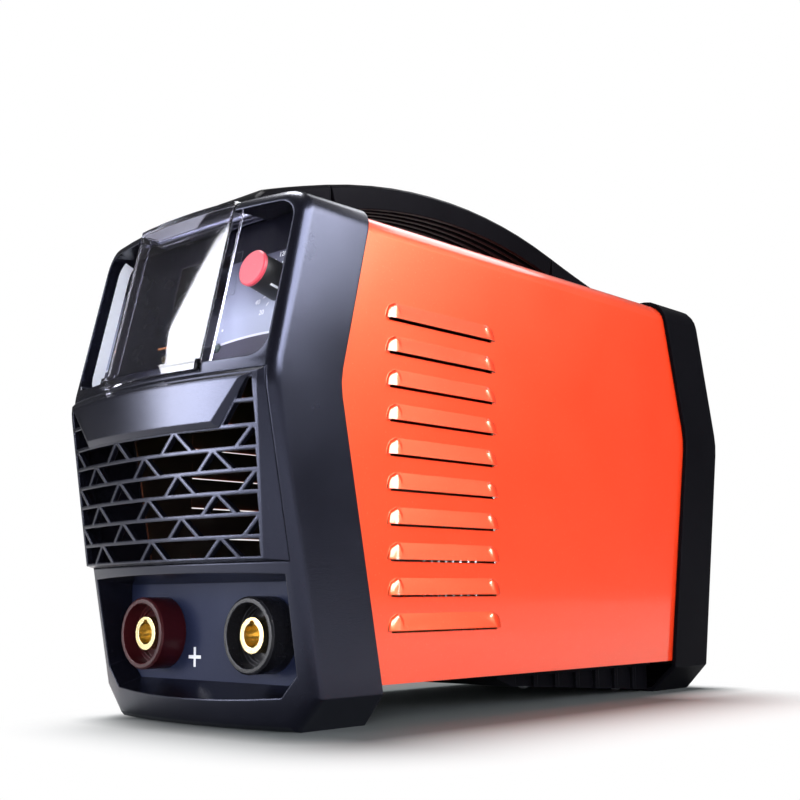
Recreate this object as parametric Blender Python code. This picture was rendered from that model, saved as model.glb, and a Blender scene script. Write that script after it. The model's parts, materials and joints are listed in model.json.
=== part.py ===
"""Stick welding inverter with a flip-up visor over its control panel.

Metres, +Z up. The front faces -Y, and the origin lies on the floor under the middle of the machine.
A moulded nose and tail hold a louvred sheet-steel cover between them, and an arched handle spans
from one to the other. Distances along Y are measured outwards from the middle of the case, until
the whole machine is moved to centre its overall length on the origin.
"""

import math
from typing import Callable, NamedTuple

import bmesh
import bpy
from mathutils import Matrix, Vector

CLEARANCE = 0.0003  # left between pieces that touch
OVERCUT = 0.02  # how far a cutter runs past what it cuts

# Outline of the case, shared by the nose and the tail
CASE_WIDTH = 0.188
CASE_LENGTH = 0.464  # along the side edges, crease to crease
BEZEL_HEIGHT = 0.290
CREASE_HEIGHT = 0.184
CREASE_BLEND = 0.008
TOP_LEAN = 0.026
FOOT_LEAN = 0.035
CROWN = 0.014
CROWN_FACETS = 10
BEZEL_DEPTH = 0.0485
TOP_CORNER_RADIUS = 0.016
FOOT_CHAMFER = 0.0175
EDGE_RADIUS = 0.006
WALL = 0.003

# Control window, panel and what is on it
WINDOW_FRAME = 0.007
WINDOW_RISE = 0.010  # from the crease to the window's lower edge
WINDOW_RADIUS = 0.011
PANEL_RECESS = 0.0135
PANEL_LAP = 0.003
PANEL_THICKNESS = 0.002
DISPLAY_WIDTH = 0.056
DISPLAY_HEIGHT = 0.026
DISPLAY_DROP = 0.036  # of its middle below the bezels' top
DISPLAY_Z = BEZEL_HEIGHT - DISPLAY_DROP
LAMP_RADIUS = 0.0025
LAMP_SPACING = 0.048
LAMP_RISE = 0.0145  # over the window's lower edge
LAMP_Z = CREASE_HEIGHT + WINDOW_RISE + LAMP_RISE
BOARD_THICKNESS = 0.0016
CONTROL_BOARD_GAP = 0.012
STANDOFF_SIDE = 0.006

# Visor
VISOR_WIDTH = 0.088
VISOR_WALL = 0.0025
VISOR_GAP = 0.0015
VISOR_OVERLAP = 0.004  # below the window's lower edge
VISOR_FLANGE = 0.008
LIP_HEIGHT = 0.006
LIP_REACH = 0.003
HINGE_DROP = 0.0035
HINGE_SETBACK = 0.0055
BARREL_RADIUS = 0.003
PIN_RADIUS = 0.0012
PIN_BITE = 0.006

# Current knob and its potentiometer
KNOB_INSET = 0.0245  # of its axis from the side of the case
KNOB_X = CASE_WIDTH / 2 - KNOB_INSET
KNOB_DROP = 0.051  # of its axis below the bezels' top
KNOB_Z = BEZEL_HEIGHT - KNOB_DROP
KNOB_RADIUS = 0.0104
KNOB_LENGTH = 0.0185
KNOB_LIFT = 0.001
KNOB_POINTER_DEG = 135.0  # clockwise from the top
POINTER_WIDTH = 0.0016
POINTER_DEPTH = 0.0005
CAP_THICKNESS = 0.0025
SHAFT_RADIUS = 0.003
SHAFT_LENGTH = 0.016
BUSHING_RADIUS = 0.0047
BUSHING_RISE = 0.004
POT_RADIUS = 0.0085
POT_DEPTH = 0.010
BOARD_TO_POT = 0.006
CONTROL_BOARD_WIDTH = 2 * (KNOB_X - POT_RADIUS - BOARD_TO_POT)

# Air grille under the window
GRILLE_MARGIN = 0.0055
GRILLE_FLANGE = 0.002
FLANGE_THICKNESS = 0.0015
CROSSBAR = 0.007  # bezel left between the grille and the window
SILL_BAR = 0.006  # bezel left between the grille and the socket recess
FIELD_RAISE_HEAD = 0.002  # of the lattice over the bezel's face, along the grille's upper edge
FIELD_RAISE_SILL = 0.0078  # the same along its lower edge
FIELD_EDGE = 0.001
FIELD_BORDER = 0.002
LATTICE_RISE = 0.0013  # from the grille's lower edge to the middle of the lowest bar
LATTICE_DEPTH = 0.0035
LATTICE_ROWS = 6
ROW_PITCH = 0.01135
STRUT_PERIOD = 0.054
STRUT_SPREAD = 0.012
STRUT_WIDTH = 0.0021
APRON_RAISE = 0.0025
APRON_CHAMFER = 0.003
APRON_HALF = 0.060  # half width along its lower edge
APRON_FLARE = 0.82  # sideways run per rise of its slanted ends
CORNER_CELLS = 2

# Socket recess and the two weld cable sockets
RECESS_MARGIN = 0.008
RECESS_TOP = 0.082
RECESS_BOTTOM = 0.013
RECESS_CHAMFER = 0.0115
RECESS_DEPTH = 0.015  # at the sockets, behind the straight chord of the crowned face
RECESS_TAPER_SIDE = 0.004
RECESS_TAPER_TOP = 0.004
RECESS_TAPER_BOTTOM = 0.010
CUP_WALL = 0.0025
SOCKET_PLATE = 0.003
SOCKET_SPACING = 0.096
SOCKET_Z = 0.0495
COLLAR_RADIUS = 0.0208
COLLAR_LENGTH = 0.017
COLLAR_WALL = 0.0032
COLLAR_FLOOR = 0.0045
COLLAR_STEP = 0.0025
SPIGOT_RADIUS = 0.0127
CONTACT_RADIUS = 0.0097
CONTACT_RISE = 0.014
BORE_RADIUS = 0.0065
BORE_DEPTH = 0.016
KEYWAY_RADIUS = 0.0022
KEYWAY_OFFSET = 0.0058
STUD_RADIUS = 0.005
STUD_LENGTH = 0.013
NUT_RADIUS = 0.0098
NUT_THICKNESS = 0.006
BUSBAR_WIDTH = 0.016
BUSBAR_THICKNESS = 0.002

# Cover and its pressed louvres
SHEET = 0.0012
COVER_BOTTOM = 0.022
COVER_TUCK = 0.006
FOLD_SEGMENTS = 6
LOUVRE_COUNT = 10
LOUVRE_PITCH = 0.0196
LOUVRE_LENGTH = 0.0988
LOUVRE_FRONT = 0.1443  # from the middle of the case to the front ends
LOUVRE_LOWEST = 0.0505
LOUVRE_HEIGHT = 0.0095
LOUVRE_REACH = 0.0033
LOUVRE_END = 0.007  # from the tip of each domed end to its middle
LOUVRE_SLIT = 0.001
SLIT_SETBACK = 0.003  # of the slit's ends from the hood's
DOME_STEPS = (-1.0, -0.93, -0.66, 0.0, 0.4, 0.72)  # along a domed end, as shares of its length
DOME_ANGLES = (0, 50, 75, 90)  # round its section, in degrees
DOME_TIP = 0.15  # share of the section left at the tip

# Handle
HANDLE_RISE = 0.0567  # of the arch over the bezels' top
HANDLE_TOP = BEZEL_HEIGHT + HANDLE_RISE
ARCH_RADIUS = 0.444
HANDLE_WIDTH = 0.040
HANDLE_THICKNESS = 0.0172
HANDLE_WALL = 0.003
HANDLE_EDGE = 0.005
HANDLE_RIBS = 4
GRIP_SETBACK = 0.1125  # of the grip's ends from the crease
GRIP_HALF = CASE_LENGTH / 2 - GRIP_SETBACK
GRIP_FACETS = 12
ROOT_SETBACK = 0.042  # of the roots' ends from the crease
ROOT_END = CASE_LENGTH / 2 - ROOT_SETBACK
ROOT_TIP = 0.2  # share of a root's height left at its end
ROOT_STEPS = (0.0, 0.5, 0.85, 1.0)  # along its toe
ROOT_TOE = 0.012
ROOT_SPREAD = 0.008
ROOT_LIFT = 0.0025

# Base
TRAY_SETBACK = 0.054  # of the tray's ends from the crease
TRAY_LENGTH = CASE_LENGTH - 2 * TRAY_SETBACK
TRAY_BOTTOM = 0.023
TRAY_FLANGE = 0.012
POST_LENGTH = 0.014
POST_WIDTH = 0.014
POST_SPACING = 0.080
POST_INSET = 0.004
SKID_INSET = 0.019
SKID_WIDTH = CASE_WIDTH - 2 * SKID_INSET
SKID_FRONT = 0.030
SKID_SLOPE = 0.070
SKID_TOE = 0.015
SKID_LIFT = 0.0015
SKID_RIBS = 7
SKID_RIB_WIDTH = 0.004
SKID_RIB_DEPTH = 0.003
SKID_WALL = 0.004

# Tail: panel, fan, switch, cable gland and earth stud
TAIL_SETBACK = 0.0385  # of the rear panel's seat from the crease
TAIL_SEAT = CASE_LENGTH / 2 - TAIL_SETBACK
TAIL_RIM = 0.016
TAIL_RADIUS = 0.012
TAIL_PANEL = 0.0015
TAIL_PANEL_LAP = 0.006
FAN_SIZE = 0.119
FAN_DEPTH = 0.025
FAN_Z = 0.108
FAN_BORE = 0.057
FAN_CORNER = 0.006
FAN_BASE_RADIUS = 0.020
FAN_BASE_HEIGHT = 0.004
FAN_STRUTS = 4
FAN_STRUT_WIDTH = 0.005
FAN_GAP = 0.0006
HUB_RADIUS = 0.019
HUB_DROP = 0.006  # from the frame's outer face to the hub's cap
BLADES = 7
BLADE_TIP = 0.0530
BLADE_CHORD_ROOT = 0.016
BLADE_CHORD_TIP = 0.020
BLADE_PITCH_ROOT = 38.0
BLADE_PITCH_TIP = 26.0
BLADE_THICKNESS = 0.0016
GUARD_RINGS = 4
GUARD_WIRE = 0.0022
GUARD_RADIUS = 0.0585
GUARD_SPOKE = 0.0035
SWITCH_X = -0.040
SWITCH_DROP = 0.068  # of its middle below the bezels' top
SWITCH_Z = BEZEL_HEIGHT - SWITCH_DROP
SWITCH_WIDTH = 0.024
SWITCH_HEIGHT = 0.030
SWITCH_DEPTH = 0.020
SWITCH_FLANGE = 0.0025
SWITCH_WALL = 0.002
POCKET_DEPTH = 0.009
ROCKER_TILT_DEG = 10.0
ROCKER_RISE = 0.0035
PIVOT_DROP = 0.002  # from the flange's face to the rocker's pivot
GLAND_X = 0.040
GLAND_Z = SWITCH_Z
GLAND_BORE = 0.0065
GLAND_THREAD = 0.0100
GLAND_HEX = 0.0150
GLAND_HEX_HEIGHT = 0.008
GLAND_CAP_RADIUS = 0.0132
GLAND_CAP_HEIGHT = 0.014
GLAND_NUT_THICKNESS = 0.005
GLAND_TAIL = 0.012
EARTH_INSET = 0.032
EARTH_X = CASE_WIDTH / 2 - EARTH_INSET
EARTH_Z = 0.034
EARTH_RADIUS = 0.0035
EARTH_LENGTH = 0.022
EARTH_HEX = 0.0075
EARTH_HEX_HEIGHT = 0.0055

# Power stage inside
BOARD_SIDE_GAP = 0.019
MAIN_BOARD_WIDTH = CASE_WIDTH - 2 * BOARD_SIDE_GAP
MAIN_BOARD_LENGTH = 0.256
MAIN_BOARD_Y = -0.004
MAIN_BOARD_LIFT = 0.010
PILLAR_INSET = 0.008
SINK_WIDTH = 0.046
SINK_LENGTH = 0.150
SINK_HEIGHT = 0.070
SINK_BASE = 0.006
SINK_FINS = 8
SINK_FIN = 0.0022
SINK_GAP = 0.038
SINK_Y = 0.040
CORE_WIDTH = 0.056
CORE_HEIGHT = 0.050
CORE_DEPTH = 0.024
CORE_LEG = 0.010
CORE_Y = -0.070
CORE_X = -0.036
CHOKE_X = 0.038
CHOKE_RADIUS = 0.028
CHOKE_BORE = 0.012
CHOKE_HEIGHT = 0.030
CAN_RADIUS = 0.015
CAN_HEIGHT = 0.045
CAN_PITCH = 0.036
CAN_COUNT = 3
CAN_Y = -0.015
CAN_EDGE = 0.002
RECTIFIER_SIDE = 0.028
RECTIFIER_HEIGHT = 0.010
RECTIFIER_Y = 0.104


class Finish(NamedTuple):
    """Colour, roughness and metallic value of one material."""

    color: tuple[float, float, float]
    roughness: float
    metallic: float = 0.0


BLACK_MOULDING = Finish((0.022, 0.022, 0.028), 0.45)
ORANGE_PAINT = Finish((0.90, 0.10, 0.02), 0.35)
PANEL_GREY = Finish((0.12, 0.12, 0.15), 0.40)
SLATE = Finish((0.09, 0.10, 0.15), 0.50)
CLEAR = Finish((0.85, 0.87, 0.90), 0.08)
RED_CAP = Finish((0.65, 0.03, 0.05), 0.35)
KNOB_BLACK = Finish((0.030, 0.030, 0.032), 0.40)
MAROON = Finish((0.10, 0.012, 0.016), 0.35)
SOCKET_BLACK = Finish((0.012, 0.012, 0.014), 0.30)
BRASS = Finish((0.78, 0.55, 0.16), 0.25, 1.0)
COPPER = Finish((0.72, 0.34, 0.20), 0.35, 1.0)
STEEL = Finish((0.55, 0.56, 0.58), 0.40, 1.0)
DARK_STEEL = Finish((0.05, 0.05, 0.06), 0.50)
ALUMINIUM = Finish((0.70, 0.71, 0.73), 0.40, 1.0)
BOARD_GREEN = Finish((0.02, 0.14, 0.06), 0.50)
FERRITE = Finish((0.05, 0.05, 0.055), 0.70)
WINDING = Finish((0.45, 0.24, 0.06), 0.45)
CAN_BLACK = Finish((0.02, 0.02, 0.03), 0.30)
SMOKED = Finish((0.02, 0.01, 0.012), 0.12)
LAMP_GREEN = Finish((0.05, 0.55, 0.12), 0.25)
LAMP_AMBER = Finish((0.85, 0.40, 0.02), 0.25)

Rows = list[tuple[float, float, float]]  # (z, left x, right x), from the lowest to the highest
Depth = Callable[[float, float], float]  # y at (x, z)


def tint(obj: bpy.types.Object, finish: Finish) -> None:
    """Gives the object a Principled material of its own."""
    material = bpy.data.materials.new(obj.name)
    material.use_nodes = True
    shader = material.node_tree.nodes["Principled BSDF"]
    shader.inputs["Base Color"].default_value = (*finish.color, 1.0)
    shader.inputs["Roughness"].default_value = finish.roughness
    shader.inputs["Metallic"].default_value = finish.metallic
    material.diffuse_color = (*finish.color, 1.0)
    obj.data.materials.append(material)


def piece(name: str, bm: bmesh.types.BMesh, finish: Finish, at=(0, 0, 0), turn=(0, 0, 0)):
    """Makes the mesh a named piece of the machine."""
    bmesh.ops.recalc_face_normals(bm, faces=bm.faces)
    mesh = bpy.data.meshes.new(name)
    bm.to_mesh(mesh)
    bm.free()
    obj = bpy.data.objects.new(name, mesh)
    obj.location = at
    obj.rotation_euler = turn
    bpy.context.scene.collection.objects.link(obj)
    tint(obj, finish)
    return obj


def tool(bm: bmesh.types.BMesh, carrier: bpy.types.Object | None = None):
    """Makes the mesh a hidden helper for Booleans, in its carrier's own frame if it has one."""
    obj = piece("tool", bm, STEEL)
    obj.hide_render = True
    obj.display_type = "WIRE"
    obj.parent = carrier
    return obj


def boolean(target: bpy.types.Object, operation: str, bm: bmesh.types.BMesh, local: bool = False):
    """Cuts the mesh from the target, or joins it on. A local mesh is in the target's frame."""
    helper = tool(bm, target if local else None)
    modifier = target.modifiers.new(operation.title(), "BOOLEAN")
    modifier.operation = operation
    modifier.object = helper
    return helper


def smooth(obj: bpy.types.Object) -> None:
    """Shades round faces smooth and keeps their corners sharp."""
    obj.data.shade_smooth()
    obj.data.set_sharp_from_angle(angle=math.radians(35))


def pivot_at(obj: bpy.types.Object, point: Vector) -> None:
    """Moves the object's origin to the point and leaves its shape where it is."""
    obj.data.transform(Matrix.Translation(-point))
    obj.location = point


def rim(grid: list[list[bmesh.types.BMVert]]) -> list[bmesh.types.BMVert]:
    """Corners round the edge of a grid of vertices, in order."""
    right = [row[-1] for row in grid[1:-1]]
    left = [row[0] for row in grid[1:-1]]
    return grid[0] + right + grid[-1][::-1] + left[::-1]


def loft(levels: list[tuple[Rows, Depth]], columns: int = CROWN_FACETS) -> bmesh.types.BMesh:
    """Closed solid through outlines stacked along Y, each with its own rows and depth."""
    bm = bmesh.new()
    grids = []
    for n, (rows, depth) in enumerate(levels):
        capped = n in (0, len(levels) - 1)
        grid = []
        for r, (z, left, right) in enumerate(rows):
            line = []
            for c in range(columns + 1):
                on_rim = r in (0, len(rows) - 1) or c in (0, columns)
                x = left + (right - left) * c / columns
                line.append(bm.verts.new((x, depth(x, z), z)) if capped or on_rim else None)
            grid.append(line)
        grids.append(grid)
    for grid in (grids[0], grids[-1]):
        for lower, upper in zip(grid, grid[1:]):
            for c in range(columns):
                bm.faces.new((lower[c], lower[c + 1], upper[c + 1], upper[c]))
    for near, far in zip(grids, grids[1:]):
        a, b = rim(near), rim(far)
        for k in range(len(a)):
            bm.faces.new((a[k - 1], a[k], b[k], b[k - 1]))
    bmesh.ops.triangulate(bm, faces=bm.faces)
    return bm


def prism(points: list[Vector], run: Vector, bm: bmesh.types.BMesh | None = None):
    """Closed prism of a flat outline, carried along run. It is added to bm where one is given."""
    bm = bm or bmesh.new()
    face = bm.faces.new([bm.verts.new(p) for p in points])
    grown = bmesh.ops.extrude_face_region(bm, geom=[face])["geom"]
    bmesh.ops.translate(bm, vec=run, verts=[v for v in grown if isinstance(v, bmesh.types.BMVert)])
    bmesh.ops.recalc_face_normals(bm, faces=bm.faces)
    return bm


def box(low: tuple[float, float, float], high: tuple[float, float, float], bm=None):
    """Block between two opposite corners. It is added to bm where one is given."""
    bm = bm or bmesh.new()
    size = Vector(high) - Vector(low)
    middle = (Vector(high) + Vector(low)) / 2
    bmesh.ops.create_cube(bm, size=1, matrix=Matrix.Translation(middle) @ Matrix.Diagonal((*size, 1)))
    return bm


def rod(radius: float, start: Vector, end: Vector, segments: int = 24, bm=None):
    """Straight round bar. It is added to bm where one is given."""
    bm = bm or bmesh.new()
    run = end - start
    turn = run.to_track_quat("Z", "Y").to_matrix().to_4x4()
    bmesh.ops.create_cone(
        bm,
        cap_ends=True,
        segments=segments,
        radius1=radius,
        radius2=radius,
        depth=run.length,
        matrix=Matrix.Translation((start + end) / 2) @ turn,
    )
    return bm


def turned(profile: list[tuple[float, float]], segments: int = 24) -> bmesh.types.BMesh:
    """Solid of revolution about Z of (radius, height) points: a ring, or from axis to axis."""
    bm = bmesh.new()
    verts = [bm.verts.new((radius, 0, height)) for radius, height in profile]
    ring = min(radius for radius, _ in profile) > 0
    ends = verts[1:] + verts[:1] if ring else verts[1:]
    edges = [bm.edges.new(pair) for pair in zip(verts, ends)]
    bmesh.ops.spin(
        bm, geom=verts + edges, axis=(0, 0, 1), angle=math.tau, steps=segments, use_merge=True
    )
    bmesh.ops.remove_doubles(bm, verts=bm.verts, dist=CLEARANCE / 100)
    return bm


def arc(middle: tuple[float, float], radius: float, start: float, end: float, steps: int):
    """Points of an arc in a plane, from one angle in degrees to another."""
    angles = [math.radians(start + (end - start) * n / steps) for n in range(steps + 1)]
    return [(middle[0] + radius * math.cos(a), middle[1] + radius * math.sin(a)) for a in angles]


def round_rectangle(left, bottom, right, top, radius, steps=5) -> list[tuple[float, float]]:
    """Outline of a rectangle with rounded corners."""
    corners = (
        (right - radius, bottom + radius, -90),
        (right - radius, top - radius, 0),
        (left + radius, top - radius, 90),
        (left + radius, bottom + radius, 180),
    )
    return [p for x, z, a in corners for p in arc((x, z), radius, a, a + 90, steps)]


def along_y(outline: list[tuple[float, float]], y: float = 0.0) -> list[Vector]:
    """An (x, z) outline as points on a plane square to Y."""
    return [Vector((x, y, z)) for x, z in outline]


def inset_outline(points: list[tuple[float, float]], by: float) -> list[tuple[float, float]]:
    """A convex outline, listed counter-clockwise, with every side moved inwards."""
    sides = []
    for k, (x, z) in enumerate(points):
        end_x, end_z = points[(k + 1) % len(points)]
        length = math.hypot(end_x - x, end_z - z)
        way = ((end_x - x) / length, (end_z - z) / length)
        sides.append((x - way[1] * by, z + way[0] * by, way))
    moved = []
    for k, (x, z, way) in enumerate(sides):
        other_x, other_z, other = sides[k - 1]
        cross = other[0] * way[1] - other[1] * way[0]
        run = ((x - other_x) * way[1] - (z - other_z) * way[0]) / cross
        moved.append((other_x + run * other[0], other_z + run * other[1]))
    return moved


def clipped(points: list[tuple[float, float]], limit: float) -> list[tuple[float, float]]:
    """A convex outline cut off at x = limit and x = -limit."""
    for sign in (1, -1):
        kept = []
        for k, end in enumerate(points):
            start = points[k - 1]
            start_in = sign * start[0] < limit
            end_in = sign * end[0] < limit
            if start_in != end_in:
                share = (sign * limit - start[0]) / (end[0] - start[0])
                kept.append((sign * limit, start[1] + share * (end[1] - start[1])))
            if end_in:
                kept.append(end)
        points = kept
    return points


def upper_line(z: float) -> float:
    """Distance of the leaning upper face's side edge at height z."""
    return CASE_LENGTH / 2 - TOP_LEAN * (z - CREASE_HEIGHT) / (BEZEL_HEIGHT - CREASE_HEIGHT)


def lower_line(z: float) -> float:
    """Distance of the undercut lower face's side edge at height z."""
    return CASE_LENGTH / 2 - FOOT_LEAN * (CREASE_HEIGHT - z) / CREASE_HEIGHT


def chord(z: float) -> float:
    """Distance of a bezel's side edge at height z, with the crease rounded off."""
    rise = z - CREASE_HEIGHT
    if abs(rise) >= CREASE_BLEND:
        return min(upper_line(z), lower_line(z))
    below = FOOT_LEAN / CREASE_HEIGHT
    above = -TOP_LEAN / (BEZEL_HEIGHT - CREASE_HEIGHT)
    bend = (above - below) / 4
    mean = (above + below) / 2
    return CASE_LENGTH / 2 + bend * (rise * rise / CREASE_BLEND + CREASE_BLEND) + mean * rise


def outer_face(x: float, z: float) -> float:
    """Distance of a bezel's crowned outer face at (x, z), in front as behind."""
    return chord(z) + CROWN * (1 - (2 * x / CASE_WIDTH) ** 2)


def front(distance: Depth, offset: float = 0.0) -> Depth:
    """Turns a distance towards the front into y, moved outwards by the offset."""
    return lambda x, z: -(distance(x, z) + offset)


def window_bottom() -> float:
    return CREASE_HEIGHT + WINDOW_RISE


def window_top() -> float:
    return BEZEL_HEIGHT - WINDOW_FRAME


def panel_seat(x: float, z: float) -> float:
    """Distance of the flat seat behind the control window's frame."""
    return upper_line(z) - PANEL_RECESS


def panel_face(x: float, z: float) -> float:
    return panel_seat(x, z) - CLEARANCE


def recess_floor() -> float:
    """Distance of the back edge of the socket recess's walls."""
    return lower_line(SOCKET_Z) - RECESS_DEPTH


def lean() -> float:
    """How far the upper face leans back from upright, in radians."""
    return math.atan2(TOP_LEAN, BEZEL_HEIGHT - CREASE_HEIGHT)


def bezel_rows(inset: float, extra: tuple[float, ...] = ()) -> Rows:
    """The bezels' outline seen from the front, moved inwards: chamfered feet, rounded top corners."""
    half = CASE_WIDTH / 2 - inset
    chamfer = FOOT_CHAMFER - inset * (2 - math.sqrt(2))
    radius = TOP_CORNER_RADIUS - inset
    flank = sorted((CREASE_HEIGHT - CREASE_BLEND, CREASE_HEIGHT, CREASE_HEIGHT + CREASE_BLEND, *extra))
    rows = [(inset, half - chamfer), (inset + chamfer, half)]
    rows += [(z, half) for z in flank]
    rows += [(z, x) for x, z in arc((half - radius, BEZEL_HEIGHT - inset - radius), radius, 0, 90, 5)]
    return [(z, -x, x) for z, x in rows]


def band(bottom: float, top: float, half: float, extra: tuple[float, ...] = ()) -> Rows:
    """Rows of a plain rectangle that keep the crease's bend where they cross it."""
    bends = (CREASE_HEIGHT - CREASE_BLEND, CREASE_HEIGHT, CREASE_HEIGHT + CREASE_BLEND, *extra)
    inner = sorted(z for z in bends if bottom < z < top)
    return [(z, -half, half) for z in (bottom, *inner, top)]


def bezel_blank(name: str, side: int) -> bpy.types.Object:
    """Solid nose or tail with a rounded outer edge, from the cover's seam to its crowned face."""
    levels = [(bezel_rows(0), lambda x, z: side * (chord(z) - BEZEL_DEPTH))]
    for angle in (0, 30, 60, 90):
        inset = EDGE_RADIUS * (1 - math.cos(math.radians(angle)))
        drop = EDGE_RADIUS * (1 - math.sin(math.radians(angle)))
        levels.append((bezel_rows(inset), lambda x, z, drop=drop: side * (outer_face(x, z) - drop)))
    return piece(name, loft(levels), BLACK_MOULDING)


def bezel_core(side: int, limit: Depth, extra: tuple[float, ...] = ()) -> bmesh.types.BMesh:
    """The hollow of a nose or tail: open at the seam and closed at the given distance."""
    rows = bezel_rows(WALL, extra)
    mouth = (rows, lambda x, z: side * (chord(z) - BEZEL_DEPTH - OVERCUT))
    return loft([mouth, (rows, lambda x, z: side * limit(x, z))])


def tray_posts(side: int) -> bmesh.types.BMesh:
    """Two posts that rise from a bezel's floor to carry the base tray."""
    bm = bmesh.new()
    outer = TRAY_LENGTH / 2 - POST_INSET
    near, far = sorted((side * (outer - POST_LENGTH), side * outer))
    for x in (-POST_SPACING / 2, POST_SPACING / 2):
        low = (x - POST_WIDTH / 2, near, 0)
        box(low, (x + POST_WIDTH / 2, far, TRAY_BOTTOM - CLEARANCE), bm)
    return bm


def recess_rows(share: float, grow: float) -> Rows:
    """Outline of the socket recess: share is 0 at its floor and 1 at its mouth."""
    half = CASE_WIDTH / 2 - RECESS_MARGIN - RECESS_TAPER_SIDE * (1 - share) + grow
    bottom = RECESS_BOTTOM + RECESS_TAPER_BOTTOM * (1 - share) - grow
    top = RECESS_TOP - RECESS_TAPER_TOP * (1 - share) + grow
    chamfer = RECESS_CHAMFER + grow * (2 - math.sqrt(2))
    rows = ((bottom, half - chamfer), (bottom + chamfer, half), (top, half))
    return [(z, -x, x) for z, x in rows]


def recess_frustum(inner_share: float, grow: float) -> bmesh.types.BMesh:
    """Tapered block of the socket recess, from its floor out past the front face."""
    floor = recess_floor()
    depth = lower_line(SOCKET_Z) + CROWN - floor
    outer_share = 1 + OVERCUT / depth
    levels = []
    for share in (inner_share, outer_share):
        y = -(floor + depth * share)
        levels.append((recess_rows(share, grow), lambda x, z, y=y: y))
    return loft(levels, columns=1)


def grille_sill() -> float:
    return RECESS_TOP + SILL_BAR


def grille_head() -> float:
    return window_bottom() - CROSSBAR


def grille_half() -> float:
    return CASE_WIDTH / 2 - GRILLE_MARGIN


def field_raise(z: float) -> float:
    """How far the lattice stands over the bezel's face: most at the grille's lower edge."""
    share = (z - grille_sill()) / (grille_head() - grille_sill())
    return FIELD_RAISE_SILL + (FIELD_RAISE_HEAD - FIELD_RAISE_SILL) * share


def field(x: float, z: float) -> float:
    """Distance of the lattice's outer face at (x, z)."""
    return outer_face(x, z) + field_raise(z)


def lattice_half(z: float) -> float:
    """Half width of the lattice, inside the grille's sloping sides."""
    return grille_half() - field_raise(z) - FIELD_BORDER


def lattice_bottom() -> float:
    return grille_sill() + LATTICE_RISE


def hinge_point() -> Vector:
    """A point on the visor's hinge axis, in the middle of the case."""
    z = BEZEL_HEIGHT - HINGE_DROP
    return Vector((0, -(upper_line(z) - HINGE_SETBACK), z))


def visor_bottom() -> float:
    return window_bottom() - VISOR_OVERLAP


def build_front_bezel() -> None:
    """Nose moulding with the control window, the grille's opening and the socket recess."""
    bezel = bezel_blank("front_bezel", -1)
    step = window_bottom() - PANEL_LAP - FLANGE_THICKNESS
    edge = step + CLEARANCE

    def core_limit(x: float, z: float) -> float:
        return panel_seat(x, z) if z >= edge else outer_face(x, z) - WALL

    core = boolean(bezel, "DIFFERENCE", bezel_core(-1, core_limit, (step, edge)))
    boolean(core, "DIFFERENCE", recess_frustum(0, CUP_WALL))
    boolean(core, "DIFFERENCE", tray_posts(-1))
    half = CASE_WIDTH / 2 - WINDOW_FRAME
    window = round_rectangle(-half, window_bottom(), half, window_top(), WINDOW_RADIUS)
    outside = -(CASE_LENGTH / 2 + CROWN + OVERCUT)
    through = Vector((0, BEZEL_DEPTH + CROWN + OVERCUT, 0))
    boolean(bezel, "DIFFERENCE", prism(along_y(window, outside), through))
    gap = GRILLE_MARGIN - CLEARANCE
    half = CASE_WIDTH / 2 - gap
    low = (-half, outside, grille_sill() - CLEARANCE)
    high = (half, outside + through.y, grille_head() + CLEARANCE)
    boolean(bezel, "DIFFERENCE", box(low, high))
    boolean(bezel, "DIFFERENCE", recess_frustum(-1, 0))
    cut_visor_seat(bezel, outside)


def cut_visor_seat(bezel: bpy.types.Object, outside: float) -> None:
    """Shallow seat for the visor's lower edge, the notch for its hinge and the pin's holes."""
    half = VISOR_WIDTH / 2 + VISOR_GAP
    rows = band(visor_bottom() - CLEARANCE, window_bottom() + WINDOW_RADIUS, half)
    seat = [(rows, front(outer_face, OVERCUT)), (rows, front(outer_face, -VISOR_WALL - CLEARANCE))]
    boolean(bezel, "DIFFERENCE", loft(seat))
    hinge = hinge_point()
    back = hinge.y + BARREL_RADIUS + VISOR_GAP
    low = (-half, outside, window_top() - WINDOW_RADIUS)
    boolean(bezel, "DIFFERENCE", box(low, (half, back, BEZEL_HEIGHT + OVERCUT)))
    reach = Vector((half + PIN_BITE, 0, 0))
    boolean(bezel, "DIFFERENCE", rod(PIN_RADIUS + CLEARANCE, hinge - reach, hinge + reach, 12))


def lattice_openings() -> list[list[tuple[float, float]]]:
    """Openings of the lattice: rows of A-shaped struts, every other row moved by half a period."""
    reach = math.ceil(grille_half() / STRUT_PERIOD) + 1
    shown = []
    for row in range(LATTICE_ROWS):
        low = lattice_bottom() + row * ROW_PITCH
        high = low + ROW_PITCH
        cells = []
        shift = 0 if row % 2 == 0 else STRUT_PERIOD / 2
        for n in range(-reach, reach + 1):
            apex = shift + n * STRUT_PERIOD
            left, right = apex - STRUT_SPREAD, apex + STRUT_SPREAD
            following = apex + STRUT_PERIOD
            cells.append([(left, low), (right, low), (apex, high)])
            cells.append([(right, low), (following - STRUT_SPREAD, low), (following, high), (apex, high)])
        openings = [inset_outline(cell, STRUT_WIDTH / 2) for cell in cells]
        shown += [clipped(opening, lattice_half(low)) for opening in openings]
    return [opening for opening in shown if opening and cell_width(opening) > 2 * STRUT_WIDTH]


def cell_width(cell: list[tuple[float, float]]) -> float:
    return max(x for x, _ in cell) - min(x for x, _ in cell)


def apron_bottom() -> float:
    """Height of the top bar of the lattice, where the smooth apron starts."""
    return lattice_bottom() + LATTICE_ROWS * ROW_PITCH


def apron_edge(z: float) -> float:
    return APRON_HALF + APRON_FLARE * (z - apron_bottom())


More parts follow.
